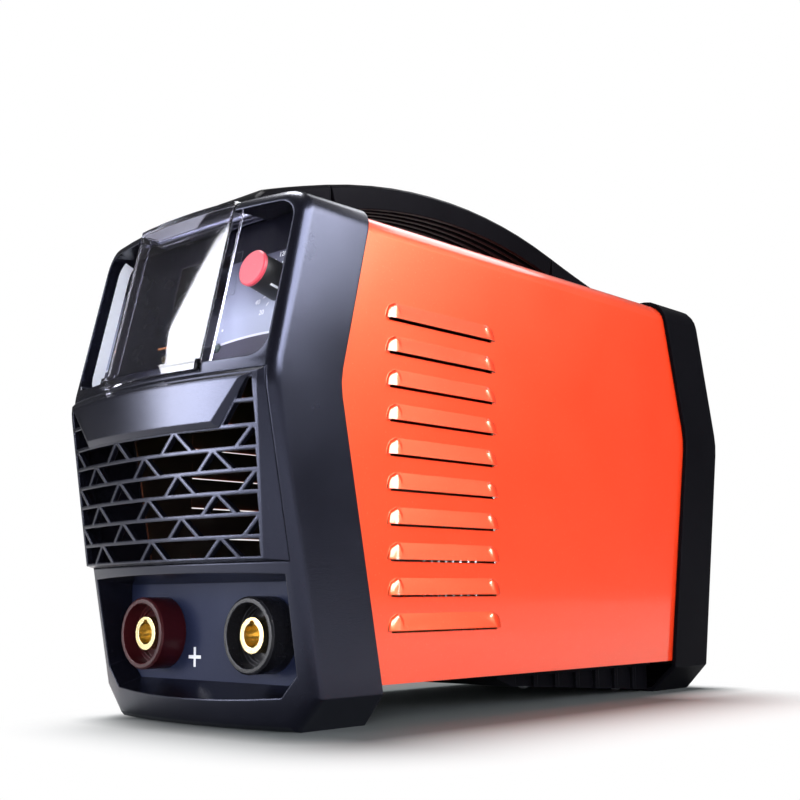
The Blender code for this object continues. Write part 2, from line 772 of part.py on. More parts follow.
def corner_openings() -> list[list[tuple[float, float]]]:
    """Openings beside the apron's slanted ends, on both sides."""
    bottom = apron_bottom()
    top = grille_head() - 2 * FIELD_BORDER
    pitch = (top - bottom) / CORNER_CELLS
    outer = lattice_half(bottom) + STRUT_WIDTH / 2
    openings = []
    for row in range(CORNER_CELLS):
        low, high = bottom + row * pitch, bottom + (row + 1) * pitch
        start, end = apron_edge(low), min(apron_edge(high), outer - 3 * STRUT_WIDTH)
        cell = [(start, low), (outer, low), (outer, high), (end, high)]
        opening = inset_outline(cell, STRUT_WIDTH / 2)
        openings += [opening, [(-x, z) for x, z in reversed(opening)]]
    return openings


def build_grille() -> None:
    """Raised air grille with its strut lattice, the corner openings and the apron above."""
    sill, head, half = grille_sill(), grille_head(), grille_half()

    bend = CREASE_HEIGHT - CREASE_BLEND

    def rows(inset: float) -> Rows:
        top = head - inset
        return [(z, inset - half, half - inset) for z in (sill + inset, bend, (bend + top) / 2, top)]

    top = head - FIELD_RAISE_HEAD
    heights = (sill + FIELD_EDGE, bend, (bend + top) / 2, top)
    brow = [(z, field_raise(z) - half, half - field_raise(z)) for z in heights]
    seat = -WALL - CLEARANCE
    levels = [
        (rows(-GRILLE_FLANGE), front(outer_face, seat - FLANGE_THICKNESS)),
        (rows(-GRILLE_FLANGE), front(outer_face, seat)),
        (rows(0), front(outer_face, seat)),
        (rows(0), front(outer_face)),
        (brow, front(field)),
    ]
    grille = piece("front_grille", loft(levels), BLACK_MOULDING)
    heights = (lattice_bottom() + STRUT_WIDTH / 2, bend, head - 2 * FIELD_BORDER)
    pocket = [(z, -lattice_half(z), lattice_half(z)) for z in heights]
    hollow = [(pocket, front(outer_face, -OVERCUT)), (pocket, front(field, -LATTICE_DEPTH))]
    boolean(grille, "DIFFERENCE", loft(hollow))
    cutters = bmesh.new()
    start = -(CASE_LENGTH / 2 + CROWN + OVERCUT)
    run = Vector((0, FOOT_LEAN + CROWN + 2 * OVERCUT, 0))
    for opening in lattice_openings() + corner_openings():
        prism(along_y(opening, start), run, cutters)
    boolean(grille, "DIFFERENCE", cutters)
    apron = [
        (apron_rows(0), front(field, -LATTICE_DEPTH / 2)),
        (apron_rows(0), front(field, STRUT_WIDTH / 4)),
        (apron_rows(APRON_CHAMFER), front(field, APRON_RAISE)),
    ]
    boolean(grille, "UNION", loft(apron))


def apron_rows(inset: float) -> Rows:
    """Outline of the smooth apron over the lattice, moved inwards."""
    top = grille_head() - FIELD_RAISE_HEAD - STRUT_WIDTH / 2
    shoulder = top - APRON_CHAMFER
    widest = grille_half() - FIELD_RAISE_HEAD - STRUT_WIDTH / 2
    ends = [(apron_bottom() + inset, apron_edge(apron_bottom())), (shoulder, apron_edge(shoulder))]
    ends.append((top - inset / 2, apron_edge(shoulder) + APRON_CHAMFER))
    return [(z, inset - min(x, widest), min(x, widest) - inset) for z, x in ends]


def build_control_panel() -> None:
    """Flat panel behind the window, with the display, two lamps and the control board behind."""
    half = CASE_WIDTH / 2 - WINDOW_FRAME + PANEL_LAP
    radius = TOP_CORNER_RADIUS - WALL
    corner = arc((half - radius, window_top() + PANEL_LAP - radius), radius, 0, 90, 5)
    rows = [(z, -x, x) for x, z in [(half, window_bottom() - PANEL_LAP), *corner]]
    back = -PANEL_THICKNESS
    levels = [(rows, front(panel_face)), (rows, front(panel_face, back))]
    panel = piece("control_panel", loft(levels, columns=1), PANEL_GREY)
    outside = -CASE_LENGTH / 2
    through = Vector((0, CASE_LENGTH / 2 - TRAY_LENGTH / 4, 0))

    def display_rows(grow: float) -> Rows:
        wide = DISPLAY_WIDTH / 2 + grow
        tall = DISPLAY_HEIGHT / 2 + grow
        return [(DISPLAY_Z - tall, -wide, wide), (DISPLAY_Z + tall, -wide, wide)]

    opening = [(display_rows(CLEARANCE), front(panel_face, OVERCUT / 2))]
    opening.append((display_rows(CLEARANCE), front(panel_face, -OVERCUT / 4)))
    boolean(panel, "DIFFERENCE", loft(opening, columns=1))
    holes = bmesh.new()
    for x in (-LAMP_SPACING / 2, LAMP_SPACING / 2):
        start = Vector((x, outside, LAMP_Z))
        rod(LAMP_RADIUS + CLEARANCE, start, start + through, 16, holes)
    boolean(panel, "DIFFERENCE", holes)
    axis = Vector((0, math.cos(lean()), -math.sin(lean()))) * OVERCUT
    shaft = knob_base()
    boolean(panel, "DIFFERENCE", rod(BUSHING_RADIUS + CLEARANCE, shaft - axis / 2, shaft + axis / 2))
    lens = [(display_rows(0), front(panel_face)), (display_rows(0), front(panel_face, back))]
    piece("display_window", loft(lens, columns=1), SMOKED)
    build_control_board(panel)
    for name, sign, finish in (("fault_lamp", -1, LAMP_AMBER), ("power_lamp", 1, LAMP_GREEN)):
        x = sign * LAMP_SPACING / 2
        place = Vector((x, -panel_face(x, LAMP_Z), LAMP_Z))
        dome = arc((0, 0), LAMP_RADIUS - CLEARANCE, 90, 0, 4)[1:]
        foot = -PANEL_THICKNESS - CLEARANCE
        collar = LAMP_RADIUS + PANEL_THICKNESS / 2
        profile = [(0, LAMP_RADIUS), *dome, (LAMP_RADIUS - CLEARANCE, foot), (collar, foot)]
        profile += [(collar, foot - PANEL_THICKNESS), (0, foot - PANEL_THICKNESS)]
        smooth(piece(name, turned(profile, 16), finish, place, (math.pi / 2 - lean(), 0, 0)))


def build_control_board(panel: bpy.types.Object) -> None:
    """Circuit board on four standoffs behind the panel, with the display's module on it."""
    near = -PANEL_THICKNESS - CONTROL_BOARD_GAP
    half = CONTROL_BOARD_WIDTH / 2
    low, high = window_bottom() + WINDOW_RADIUS / 2, window_top() - WINDOW_RADIUS / 2
    rows = [(low, -half, half), (high, -half, half)]
    levels = [(rows, front(panel_face, near)), (rows, front(panel_face, near - BOARD_THICKNESS))]
    piece("control_board", loft(levels, columns=1), BOARD_GREEN)
    for x in (-half + STANDOFF_SIDE, half - STANDOFF_SIDE):
        for z in (low + STANDOFF_SIDE, high - STANDOFF_SIDE):
            left, right = x - STANDOFF_SIDE / 2, x + STANDOFF_SIDE / 2
            foot = [(z - STANDOFF_SIDE / 2, left, right), (z + STANDOFF_SIDE / 2, left, right)]
            ends = (-PANEL_THICKNESS / 2, near + CLEARANCE)
            post = [(foot, front(panel_face, end)) for end in ends]
            boolean(panel, "UNION", loft(post, columns=1))
    wide, tall = DISPLAY_WIDTH / 2 - STANDOFF_SIDE / 2, DISPLAY_HEIGHT / 2 - CLEARANCE
    module = [(DISPLAY_Z - tall, -wide, wide), (DISPLAY_Z + tall, -wide, wide)]
    ends = (-PANEL_THICKNESS - CLEARANCE, near + CLEARANCE)
    levels = [(module, front(panel_face, end)) for end in ends]
    piece("display_module", loft(levels, columns=1), SOCKET_BLACK)


def build_visor() -> None:
    """Clear flap over the display: a crowned sheet with side flanges, a lip and a hinge barrel."""
    half = VISOR_WIDTH / 2
    hinge = hinge_point()
    bottom = visor_bottom()
    top = BEZEL_HEIGHT - CLEARANCE
    rows = band(bottom, top, half)
    sheet = [(rows, front(outer_face)), (rows, front(outer_face, -VISOR_WALL))]
    visor = piece("visor", loft(sheet), CLEAR)
    for sign in (-1, 1):
        edges = sorted((sign * half, sign * (half - VISOR_WALL)))
        flank = band(window_bottom() + CLEARANCE, hinge.z - BARREL_RADIUS, half)
        flange = [(z, *edges) for z, _, _ in flank]
        levels = [(flange, front(outer_face, -VISOR_WALL / 2)), (flange, front(outer_face, -VISOR_FLANGE))]
        boolean(visor, "UNION", loft(levels, columns=1))
    shelf = [(hinge.z, -half, half), (top, -half, half)]
    roof = [(shelf, front(outer_face, -VISOR_WALL / 2)), (shelf, lambda x, z: hinge.y)]
    boolean(visor, "UNION", loft(roof))
    lip = band(bottom, bottom + LIP_HEIGHT, half)
    levels = [(lip, front(outer_face, -VISOR_WALL / 2)), (lip, front(outer_face, LIP_REACH))]
    boolean(visor, "UNION", loft(levels))
    reach = Vector((half, 0, 0))
    boolean(visor, "UNION", rod(BARREL_RADIUS, hinge - reach, hinge + reach, 16))
    reach = Vector((half + OVERCUT, 0, 0))
    boolean(visor, "DIFFERENCE", rod(PIN_RADIUS + CLEARANCE, hinge - reach, hinge + reach, 12))
    pivot_at(visor, hinge)
    reach = Vector((half + VISOR_GAP + PIN_BITE - CLEARANCE, 0, 0))
    piece("visor_hinge_pin", rod(PIN_RADIUS, hinge - reach, hinge + reach, 12), STEEL)


def knob_base() -> Vector:
    """Where the knob's axis meets the control panel's face."""
    return Vector((KNOB_X, -panel_face(KNOB_X, KNOB_Z), KNOB_Z))


def build_knob() -> None:
    """Current knob with its red cap, on the shaft of a potentiometer behind the panel."""
    base = knob_base()
    turn = (math.pi / 2 - lean(), 0, 0)
    top = KNOB_LIFT + KNOB_LENGTH
    shaft_bottom = top - CAP_THICKNESS - SHAFT_LENGTH
    bore = SHAFT_RADIUS + CLEARANCE
    mouth = BUSHING_RADIUS + KNOB_LIFT
    throat = BUSHING_RISE + KNOB_LIFT
    roof = shaft_bottom + SHAFT_LENGTH + CLEARANCE
    profile = [
        (0, top),
        (KNOB_RADIUS - CAP_THICKNESS / 4, top),
        (KNOB_RADIUS - CAP_THICKNESS / 4, top - CAP_THICKNESS / 4),
        (KNOB_RADIUS, KNOB_LIFT),
        (mouth, KNOB_LIFT),
        (mouth, throat),
        (bore, throat),
        (bore, roof),
        (0, roof),
    ]
    knob = piece("current_knob", turned(profile, 32), KNOB_BLACK, base, turn)
    angle = math.radians(90 - KNOB_POINTER_DEG)
    outwards = Matrix.Rotation(angle, 4, "Z")
    groove = box(
        (KNOB_RADIUS - POINTER_DEPTH, -POINTER_WIDTH / 2, KNOB_LIFT - CLEARANCE),
        (KNOB_RADIUS + POINTER_DEPTH, POINTER_WIDTH / 2, top - CAP_THICKNESS),
    )
    bmesh.ops.transform(groove, matrix=outwards, verts=groove.verts)
    boolean(knob, "DIFFERENCE", groove, local=True)
    smooth(knob)
    crown = top + CLEARANCE
    edge = CAP_THICKNESS / 3
    cap = [
        (0, crown + CAP_THICKNESS),
        (KNOB_RADIUS - edge, crown + CAP_THICKNESS),
        (KNOB_RADIUS, crown + CAP_THICKNESS - edge),
        (KNOB_RADIUS, crown),
        (0, crown),
    ]
    smooth(piece("knob_cap", turned(cap, 32), RED_CAP, base, turn))
    shaft = rod(SHAFT_RADIUS, Vector((0, 0, shaft_bottom)), Vector((0, 0, roof - CLEARANCE)), 16)
    smooth(piece("potentiometer_shaft", shaft, STEEL, base, turn))
    back = -PANEL_THICKNESS - CLEARANCE
    seat = shaft_bottom - CLEARANCE
    body = [
        (0, seat),
        (bore, seat),
        (bore, BUSHING_RISE),
        (BUSHING_RADIUS, BUSHING_RISE),
        (BUSHING_RADIUS, back),
        (POT_RADIUS, back),
        (POT_RADIUS, back - POT_DEPTH),
        (0, back - POT_DEPTH),
    ]
    smooth(piece("potentiometer", turned(body, 24), STEEL, base, turn))


def build_sockets() -> None:
    """Plate behind the recess, and for each pole a collar, a brass contact, a nut and a busbar."""
    seat = recess_floor() - CLEARANCE
    rows = recess_rows(0, CUP_WALL)
    faces = [(rows, lambda x, z: -seat), (rows, lambda x, z: -(seat - SOCKET_PLATE))]
    plate = piece("socket_plate", loft(faces, columns=1), SLATE)
    holes = bmesh.new()
    for x in (-SOCKET_SPACING / 2, SOCKET_SPACING / 2):
        middle = Vector((x, -seat, SOCKET_Z))
        run = Vector((0, OVERCUT, 0))
        rod(SPIGOT_RADIUS + CLEARANCE, middle - run, middle + run, 24, holes)
    boolean(plate, "DIFFERENCE", holes)
    build_socket("positive", -SOCKET_SPACING / 2, MAROON)
    build_socket("negative", SOCKET_SPACING / 2, SOCKET_BLACK)


def build_socket(pole: str, x: float, finish: Finish) -> None:
    """One weld cable socket. Its own Z runs out of the front and its own Y runs up."""
    place = Vector((x, -recess_floor(), SOCKET_Z))
    turn = (math.pi / 2, 0, 0)
    plate_back = -CLEARANCE - SOCKET_PLATE
    hole = CONTACT_RADIUS + CLEARANCE
    cup = COLLAR_RADIUS - COLLAR_WALL
    collar = [
        (COLLAR_RADIUS, 0),
        (COLLAR_RADIUS, COLLAR_LENGTH - COLLAR_WALL / 3),
        (COLLAR_RADIUS - COLLAR_WALL / 3, COLLAR_LENGTH),
        (cup, COLLAR_LENGTH),
        (cup, COLLAR_FLOOR + COLLAR_STEP),
        (cup - COLLAR_STEP, COLLAR_FLOOR + COLLAR_STEP),
        (cup - COLLAR_STEP, COLLAR_FLOOR),
        (hole, COLLAR_FLOOR),
        (hole, plate_back),
        (SPIGOT_RADIUS, plate_back),
        (SPIGOT_RADIUS, 0),
    ]
    smooth(piece(f"{pole}_socket_collar", turned(collar), finish, place, turn))
    shoulder = plate_back - CLEARANCE
    bore_end = CONTACT_RISE - BORE_DEPTH
    contact = [
        (0, bore_end),
        (BORE_RADIUS, bore_end),
        (BORE_RADIUS, CONTACT_RISE),
        (CONTACT_RADIUS, CONTACT_RISE),
        (CONTACT_RADIUS, shoulder),
        (STUD_RADIUS, shoulder),
        (STUD_RADIUS, shoulder - STUD_LENGTH),
        (0, shoulder - STUD_LENGTH),
    ]
    brass = piece(f"{pole}_socket_contact", turned(contact, 24), BRASS, place, turn)
    key_foot = Vector((0, KEYWAY_OFFSET, bore_end + CLEARANCE))
    keyway = rod(KEYWAY_RADIUS, key_foot, Vector((0, KEYWAY_OFFSET, CONTACT_RISE + OVERCUT)), 12)
    boolean(brass, "DIFFERENCE", keyway, local=True)
    smooth(brass)
    bar_front = shoulder - CLEARANCE
    nut_front = bar_front - BUSBAR_THICKNESS - CLEARANCE
    bore = STUD_RADIUS + CLEARANCE
    hexagon = hex_ring(NUT_RADIUS, bore, nut_front - NUT_THICKNESS, nut_front)
    piece(f"{pole}_socket_nut", hexagon, BRASS, place, turn)
    build_busbar(pole, place, bar_front)


def hex_ring(outer: float, bore: float, low: float, high: float) -> bmesh.types.BMesh:
    """Hexagonal ring along Z with a round bore."""
    bm = bmesh.new()
    sides = 24
    loops = []
    for height in (low, high):
        for radius in (outer, bore):
            loop = []
            for n in range(sides):
                angle = math.tau * n / sides
                off_corner = (angle + math.pi / 6) % (math.pi / 3) - math.pi / 6
                flat = math.cos(math.pi / 6) / math.cos(math.pi / 6 - abs(off_corner))
                reach = radius * (flat if radius == outer else 1)
                loop.append(bm.verts.new((reach * math.cos(angle), reach * math.sin(angle), height)))
            loops.append(loop)
    outer_low, bore_low, outer_high, bore_high = loops
    pairs = ((outer_low, outer_high), (outer_high, bore_high), (bore_high, bore_low), (bore_low, outer_low))
    for a, b in pairs:
        for n in range(sides):
            bm.faces.new((a[n - 1], a[n], b[n], b[n - 1]))
    return bm


def board_top() -> float:
    return TRAY_BOTTOM + SHEET + MAIN_BOARD_LIFT + CLEARANCE + BOARD_THICKNESS


def build_busbar(pole: str, place: Vector, bar_front: float) -> None:
    """Copper strip from a socket's stud back to the main board's front edge."""
    near = place.y - bar_front
    far = MAIN_BOARD_Y - MAIN_BOARD_LENGTH / 2 + BUSBAR_WIDTH
    low = board_top() + CLEARANCE
    high = place.z + BUSBAR_WIDTH / 2
    left = place.x - BUSBAR_WIDTH / 2
    outline = (
        (near, low),
        (far, low),
        (far, low + BUSBAR_THICKNESS),
        (near + BUSBAR_THICKNESS, low + BUSBAR_THICKNESS),
        (near + BUSBAR_THICKNESS, high),
        (near, high),
    )
    strip = prism([Vector((left, y, z)) for y, z in outline], Vector((BUSBAR_WIDTH, 0, 0)))
    bar = piece(f"{pole}_busbar", strip, COPPER)
    middle = Vector((place.x, near, place.z))
    run = Vector((0, OVERCUT / 2, 0))
    boolean(bar, "DIFFERENCE", rod(STUD_RADIUS + CLEARANCE, middle - run, middle + run, 20))


def cover_half() -> float:
    """Half width of the cover, which slides under the bezels' edges."""
    return CASE_WIDTH / 2 - WALL - CLEARANCE


def cover_section(inset: float) -> list[tuple[float, float]]:
    """Half of the cover's folded section, from its lower edge up to the middle of the roof."""
    half = cover_half() - inset
    top = BEZEL_HEIGHT - WALL - CLEARANCE - inset
    radius = TOP_CORNER_RADIUS - WALL - CLEARANCE - inset
    flank = (COVER_BOTTOM, CREASE_HEIGHT - CREASE_BLEND, CREASE_HEIGHT, CREASE_HEIGHT + CREASE_BLEND)
    return [(half, z) for z in flank] + arc((half - radius, top - radius), radius, 0, 90, FOLD_SEGMENTS)


def build_cover() -> None:
    """Folded sheet-steel cover with ten pressed louvres on each side."""
    outer, inner = cover_section(0), cover_section(SHEET)
    outline = outer + [(-x, z) for x, z in reversed(outer)]
    outline += [(-x, z) for x, z in inner] + list(reversed(inner))
    bm = bmesh.new()
    ends = []
    for side in (-1, 1):
        ends.append([bm.verts.new((x, side * (chord(z) - BEZEL_DEPTH + COVER_TUCK), z)) for x, z in outline])
    front_end, rear_end = ends
    count = len(outline)
    for n in range(count):
        bm.faces.new((front_end[n - 1], front_end[n], rear_end[n], rear_end[n - 1]))
    for end in ends:
        for n in range(count // 2 - 1):
            bm.faces.new((end[n], end[n + 1], end[count - 2 - n], end[count - 1 - n]))
    cover = piece("cover", bm, ORANGE_PAINT)
    hoods, domes, mouths = bmesh.new(), bmesh.new(), bmesh.new()
    for side in (-1, 1):
        for n in range(LOUVRE_COUNT):
            add_louvre(hoods, domes, mouths, side, LOUVRE_LOWEST + n * LOUVRE_PITCH)
    boolean(cover, "UNION", hoods)
    boolean(cover, "UNION", domes)
    boolean(cover, "DIFFERENCE", mouths)


def add_louvre(hoods, domes, mouths, side: int, slit: float) -> None:
    """Adds one louvre to three meshes: its sloping hood, its two domed ends and the hollow under it."""
    wall = cover_half()
    root = wall - SHEET / 2
    start, end = -LOUVRE_FRONT, LOUVRE_LENGTH - LOUVRE_FRONT
    section = [(root, slit), (wall + LOUVRE_REACH, slit)]
    section += [(wall, slit + LOUVRE_HEIGHT), (root, slit + LOUVRE_HEIGHT)]
    add_bar(hoods, side, section, start + LOUVRE_END, end - LOUVRE_END)
    add_dome(domes, side, slit, start + LOUVRE_END, 1)
    add_dome(domes, side, slit, end - LOUVRE_END, -1)
    slope = LOUVRE_REACH / LOUVRE_HEIGHT
    inside = wall - 2 * SHEET
    lip = wall + LOUVRE_REACH - SHEET * math.hypot(1, slope) + slope * LOUVRE_SLIT
    floor = slit - LOUVRE_SLIT
    hollow = [(inside, floor), (lip, floor), (inside, floor + (lip - inside) / slope)]
    add_bar(mouths, side, hollow, start + SLIT_SETBACK, end - SLIT_SETBACK)


def add_bar(bm: bmesh.types.BMesh, side: int, section, near: float, far: float) -> None:
    """Adds a bar along Y with the (x, z) section, on one side of the case."""
    prism([Vector((side * x, near, z)) for x, z in section], Vector((0, far - near, 0)), bm)


def add_dome(bm: bmesh.types.BMesh, side: int, slit: float, middle: float, way: int) -> None:
    """Adds one domed end of a louvre, a quarter of an egg that runs back into the hood."""
    wall = cover_half()
    root = wall - SHEET / 2
    sections = []
    for step in DOME_STEPS:
        swell = max(math.sqrt(1 - step**2), DOME_TIP)
        reach, height = LOUVRE_REACH * swell, LOUVRE_HEIGHT * swell
        profile = [(root, slit)]
        for a in map(math.radians, DOME_ANGLES):
            profile.append((wall + reach * math.cos(a), slit + height * math.sin(a)))
        profile.append((root, slit + height))
        y = middle + way * step * LOUVRE_END
        sections.append([bm.verts.new((side * x, y, z)) for x, z in profile])
    for near, far in zip(sections, sections[1:]):
        for n in range(len(near)):
            bm.faces.new((near[n - 1], near[n], far[n], far[n - 1]))
    bm.faces.new(sections[0])
    bm.faces.new(sections[-1])


def arch_height(y: float) -> float:
    """Height of the handle's top line."""
    return HANDLE_TOP - ARCH_RADIUS + math.sqrt(ARCH_RADIUS**2 - y**2)


def grip_section() -> list[tuple[float, float]]:
    """Section of the grip as (x, depth below its top line): a rounded shell, ribbed underneath."""
    half = HANDLE_WIDTH / 2
    edge = [(x, -z) for x, z in arc((half - HANDLE_EDGE, -HANDLE_EDGE), HANDLE_EDGE, 90, 0, 3)]
    top = [(-x, depth) for x, depth in reversed(edge)] + edge
    underside = [(half, HANDLE_THICKNESS)]
    pitch = (HANDLE_WIDTH - HANDLE_WALL) / (HANDLE_RIBS + 1)
    for n in range(HANDLE_RIBS + 1):
        right = half - HANDLE_WALL - n * pitch
        left_x = right - pitch + HANDLE_WALL
        underside += [(right, HANDLE_THICKNESS), (right, HANDLE_WALL)]
        underside += [(left_x, HANDLE_WALL), (left_x, HANDLE_THICKNESS)]
    underside.append((-half, HANDLE_THICKNESS))
    return top + underside


def build_handle() -> None:
    """Arched grip between two roots that stand on the nose and the tail."""
    bm = bmesh.new()
    middle = HANDLE_TOP - ARCH_RADIUS
    swing = math.asin((GRIP_HALF - CLEARANCE) / ARCH_RADIUS)
    loops = []
    for n in range(GRIP_FACETS + 1):
        angle = swing * (2 * n / GRIP_FACETS - 1)
        loop = []
        for x, depth in grip_section():
            reach = ARCH_RADIUS - depth
            loop.append(bm.verts.new((x, reach * math.sin(angle), middle + reach * math.cos(angle))))
        loops.append(loop)
    for near, far in zip(loops, loops[1:]):
        for k in range(len(near)):
            bm.faces.new((near[k - 1], near[k], far[k], far[k - 1]))
    bm.faces.new(loops[0])
    bm.faces.new(loops[-1])
    piece("handle_grip", bm, BLACK_MOULDING)
    build_handle_root("handle_root_front", -1)
    build_handle_root("handle_root_rear", 1)


def build_handle_root(name: str, side: int) -> None:
    """Root that carries one end of the grip down to the top of a bezel."""
    floor = BEZEL_HEIGHT + CLEARANCE
    heel = chord(BEZEL_HEIGHT) - BEZEL_DEPTH
    drop = HANDLE_THICKNESS
    flat = ROOT_END - ROOT_TOE
    stations = [GRIP_HALF, (GRIP_HALF + heel) / 2, heel - drop, heel - drop / 3, heel]
    stations += [(heel + flat) / 2] + [flat + ROOT_TOE * share for share in ROOT_STEPS]
    bm = bmesh.new()
    loops = []
    for y in stations:
        top = arch_height(y) + ROOT_LIFT * ((y - GRIP_HALF) / (ROOT_END - GRIP_HALF)) ** 2
        toe = min(max((y - flat) / ROOT_TOE, 0.0), 1.0)
        top = floor + (top - floor) * max(math.sqrt(1 - toe**2), ROOT_TIP)
        sink = min(max((y - heel + drop) / drop, 0.0), 1.0)
        under = arch_height(y) - HANDLE_THICKNESS
        bottom = under - (under - floor) * (1 - math.sqrt(1 - sink**2))
        half = HANDLE_WIDTH / 2 + ROOT_SPREAD * max(0.0, (y - GRIP_HALF) / (ROOT_END - GRIP_HALF)) ** 2
        radius = min(HANDLE_EDGE, (top - bottom) / 2)
        right = arc((half - radius, top - radius), radius, 0, 90, 3)
        section = [(half, bottom), *right, *[(-x, z) for x, z in reversed(right)], (-half, bottom)]
        loops.append([bm.verts.new((x, side * y, z)) for x, z in section])
    for near, far in zip(loops, loops[1:]):
        for k in range(len(near)):
            bm.faces.new((near[k - 1], near[k], far[k], far[k - 1]))
    bm.faces.new(loops[0])
    bm.faces.new(loops[-1])
    bmesh.ops.triangulate(bm, faces=bm.faces)
    piece(name, bm, BLACK_MOULDING)


def build_base() -> None:
    """Sheet-steel base tray with pillars for the main board, and the ribbed skid under its rear."""
    half = cover_half() - SHEET - CLEARANCE
    top = TRAY_BOTTOM + SHEET
    rise = TRAY_BOTTOM + TRAY_FLANGE
    section = [(-half, TRAY_BOTTOM), (half, TRAY_BOTTOM), (half, rise), (half - SHEET, rise)]
    section += [(half - SHEET, top), (-half + SHEET, top), (-half + SHEET, rise), (-half, rise)]
    tray = piece("base_tray", prism(along_y(section, -TRAY_LENGTH / 2), Vector((0, TRAY_LENGTH, 0))), STEEL)
    pillars = bmesh.new()
    for x in (-MAIN_BOARD_WIDTH / 2 + PILLAR_INSET, MAIN_BOARD_WIDTH / 2 - PILLAR_INSET):
        for sign in (-1, 1):
            y = MAIN_BOARD_Y + sign * (MAIN_BOARD_LENGTH / 2 - PILLAR_INSET)
            foot = Vector((x, y, TRAY_BOTTOM + SHEET / 2))
            head = Vector((x, y, top + MAIN_BOARD_LIFT))
            rod(STANDOFF_SIDE / 2, foot, head, 12, pillars)
    boolean(tray, "UNION", pillars)
    build_skid()


def build_skid() -> None:
    """Moulded skid under the rear half of the tray, hollow on top: its underside slopes to the tail."""
    top = TRAY_BOTTOM - CLEARANCE
    start, rear = SKID_TOE - SKID_FRONT, chord(0) - BEZEL_DEPTH - CLEARANCE
    front_low = SKID_LIFT + SKID_SLOPE * (rear - start)
    profile = [(-SKID_FRONT, top), (-SKID_FRONT, top - SKID_WALL), (start, front_low)]
    profile += [(rear, SKID_LIFT), (rear, top)]
    half = SKID_WIDTH / 2
    body = prism([Vector((-half, y, z)) for y, z in profile], Vector((SKID_WIDTH, 0, 0)))
    skid = piece("base_skid", body, BLACK_MOULDING)
    near, far = start + SKID_WALL, rear - SKID_WALL
    lift = SKID_WALL - SKID_SLOPE * SKID_WALL
    pit = [(near, front_low + lift), (far, SKID_LIFT + SKID_WALL)]
    pit += [(far, top + OVERCUT), (near, top + OVERCUT)]
    inner = half - SKID_RIB_DEPTH - SKID_WALL
    hollow = prism([Vector((-inner, y, z)) for y, z in pit], Vector((2 * inner, 0, 0)))
    boolean(skid, "DIFFERENCE", hollow)
    flutes = bmesh.new()
    pitch = (rear - start) / SKID_RIBS
    for n in range(SKID_RIBS):
        near, far = start + n * pitch + SKID_RIB_WIDTH, start + (n + 1) * pitch
        for side in (-1, 1):
            inside, outside = sorted((side * (half - SKID_RIB_DEPTH), side * (half + OVERCUT)))
            box((inside, near, -OVERCUT), (outside, far, top - SKID_WALL), flutes)
    boolean(skid, "DIFFERENCE", flutes)


def build_tail() -> None:
    """Tail moulding: a deep rim round the flat rear panel."""
    bezel = bezel_blank("rear_bezel", 1)
    core = boolean(bezel, "DIFFERENCE", bezel_core(1, lambda x, z: TAIL_SEAT))
    boolean(core, "DIFFERENCE", tray_posts(1))
    half = CASE_WIDTH / 2 - TAIL_RIM
    low, high = FOOT_CHAMFER + EDGE_RADIUS, BEZEL_HEIGHT - TAIL_RIM
    opening = round_rectangle(-half, low, half, high, TAIL_RADIUS)
    run = Vector((0, CASE_LENGTH / 2, 0))
    boolean(bezel, "DIFFERENCE", prism(along_y(opening, TAIL_SEAT - OVERCUT), run))
    lap = TAIL_PANEL_LAP
    plate = round_rectangle(-half - lap, low - lap, half + lap, high + lap, TAIL_RADIUS)
    back = TAIL_SEAT - CLEARANCE
    sheet = prism(along_y(plate, back - TAIL_PANEL), Vector((0, TAIL_PANEL, 0)))
    panel = piece("rear_panel", sheet, DARK_STEEL)
    holes = bmesh.new()
    run = Vector((0, OVERCUT, 0))
    for x, z, radius in (
        (0, FAN_Z, FAN_BORE),
        (GLAND_X, GLAND_Z, GLAND_THREAD + CLEARANCE),
        (EARTH_X, EARTH_Z, EARTH_RADIUS + CLEARANCE),
    ):
        middle = Vector((x, back, z))
        rod(radius, middle - run, middle + run, 24, holes)
    wide, tall = SWITCH_WIDTH / 2 + CLEARANCE, SWITCH_HEIGHT / 2 + CLEARANCE
    low_corner = (SWITCH_X - wide, back - OVERCUT, SWITCH_Z - tall)
    box(low_corner, (SWITCH_X + wide, back + OVERCUT, SWITCH_Z + tall), holes)
    boolean(panel, "DIFFERENCE", holes)


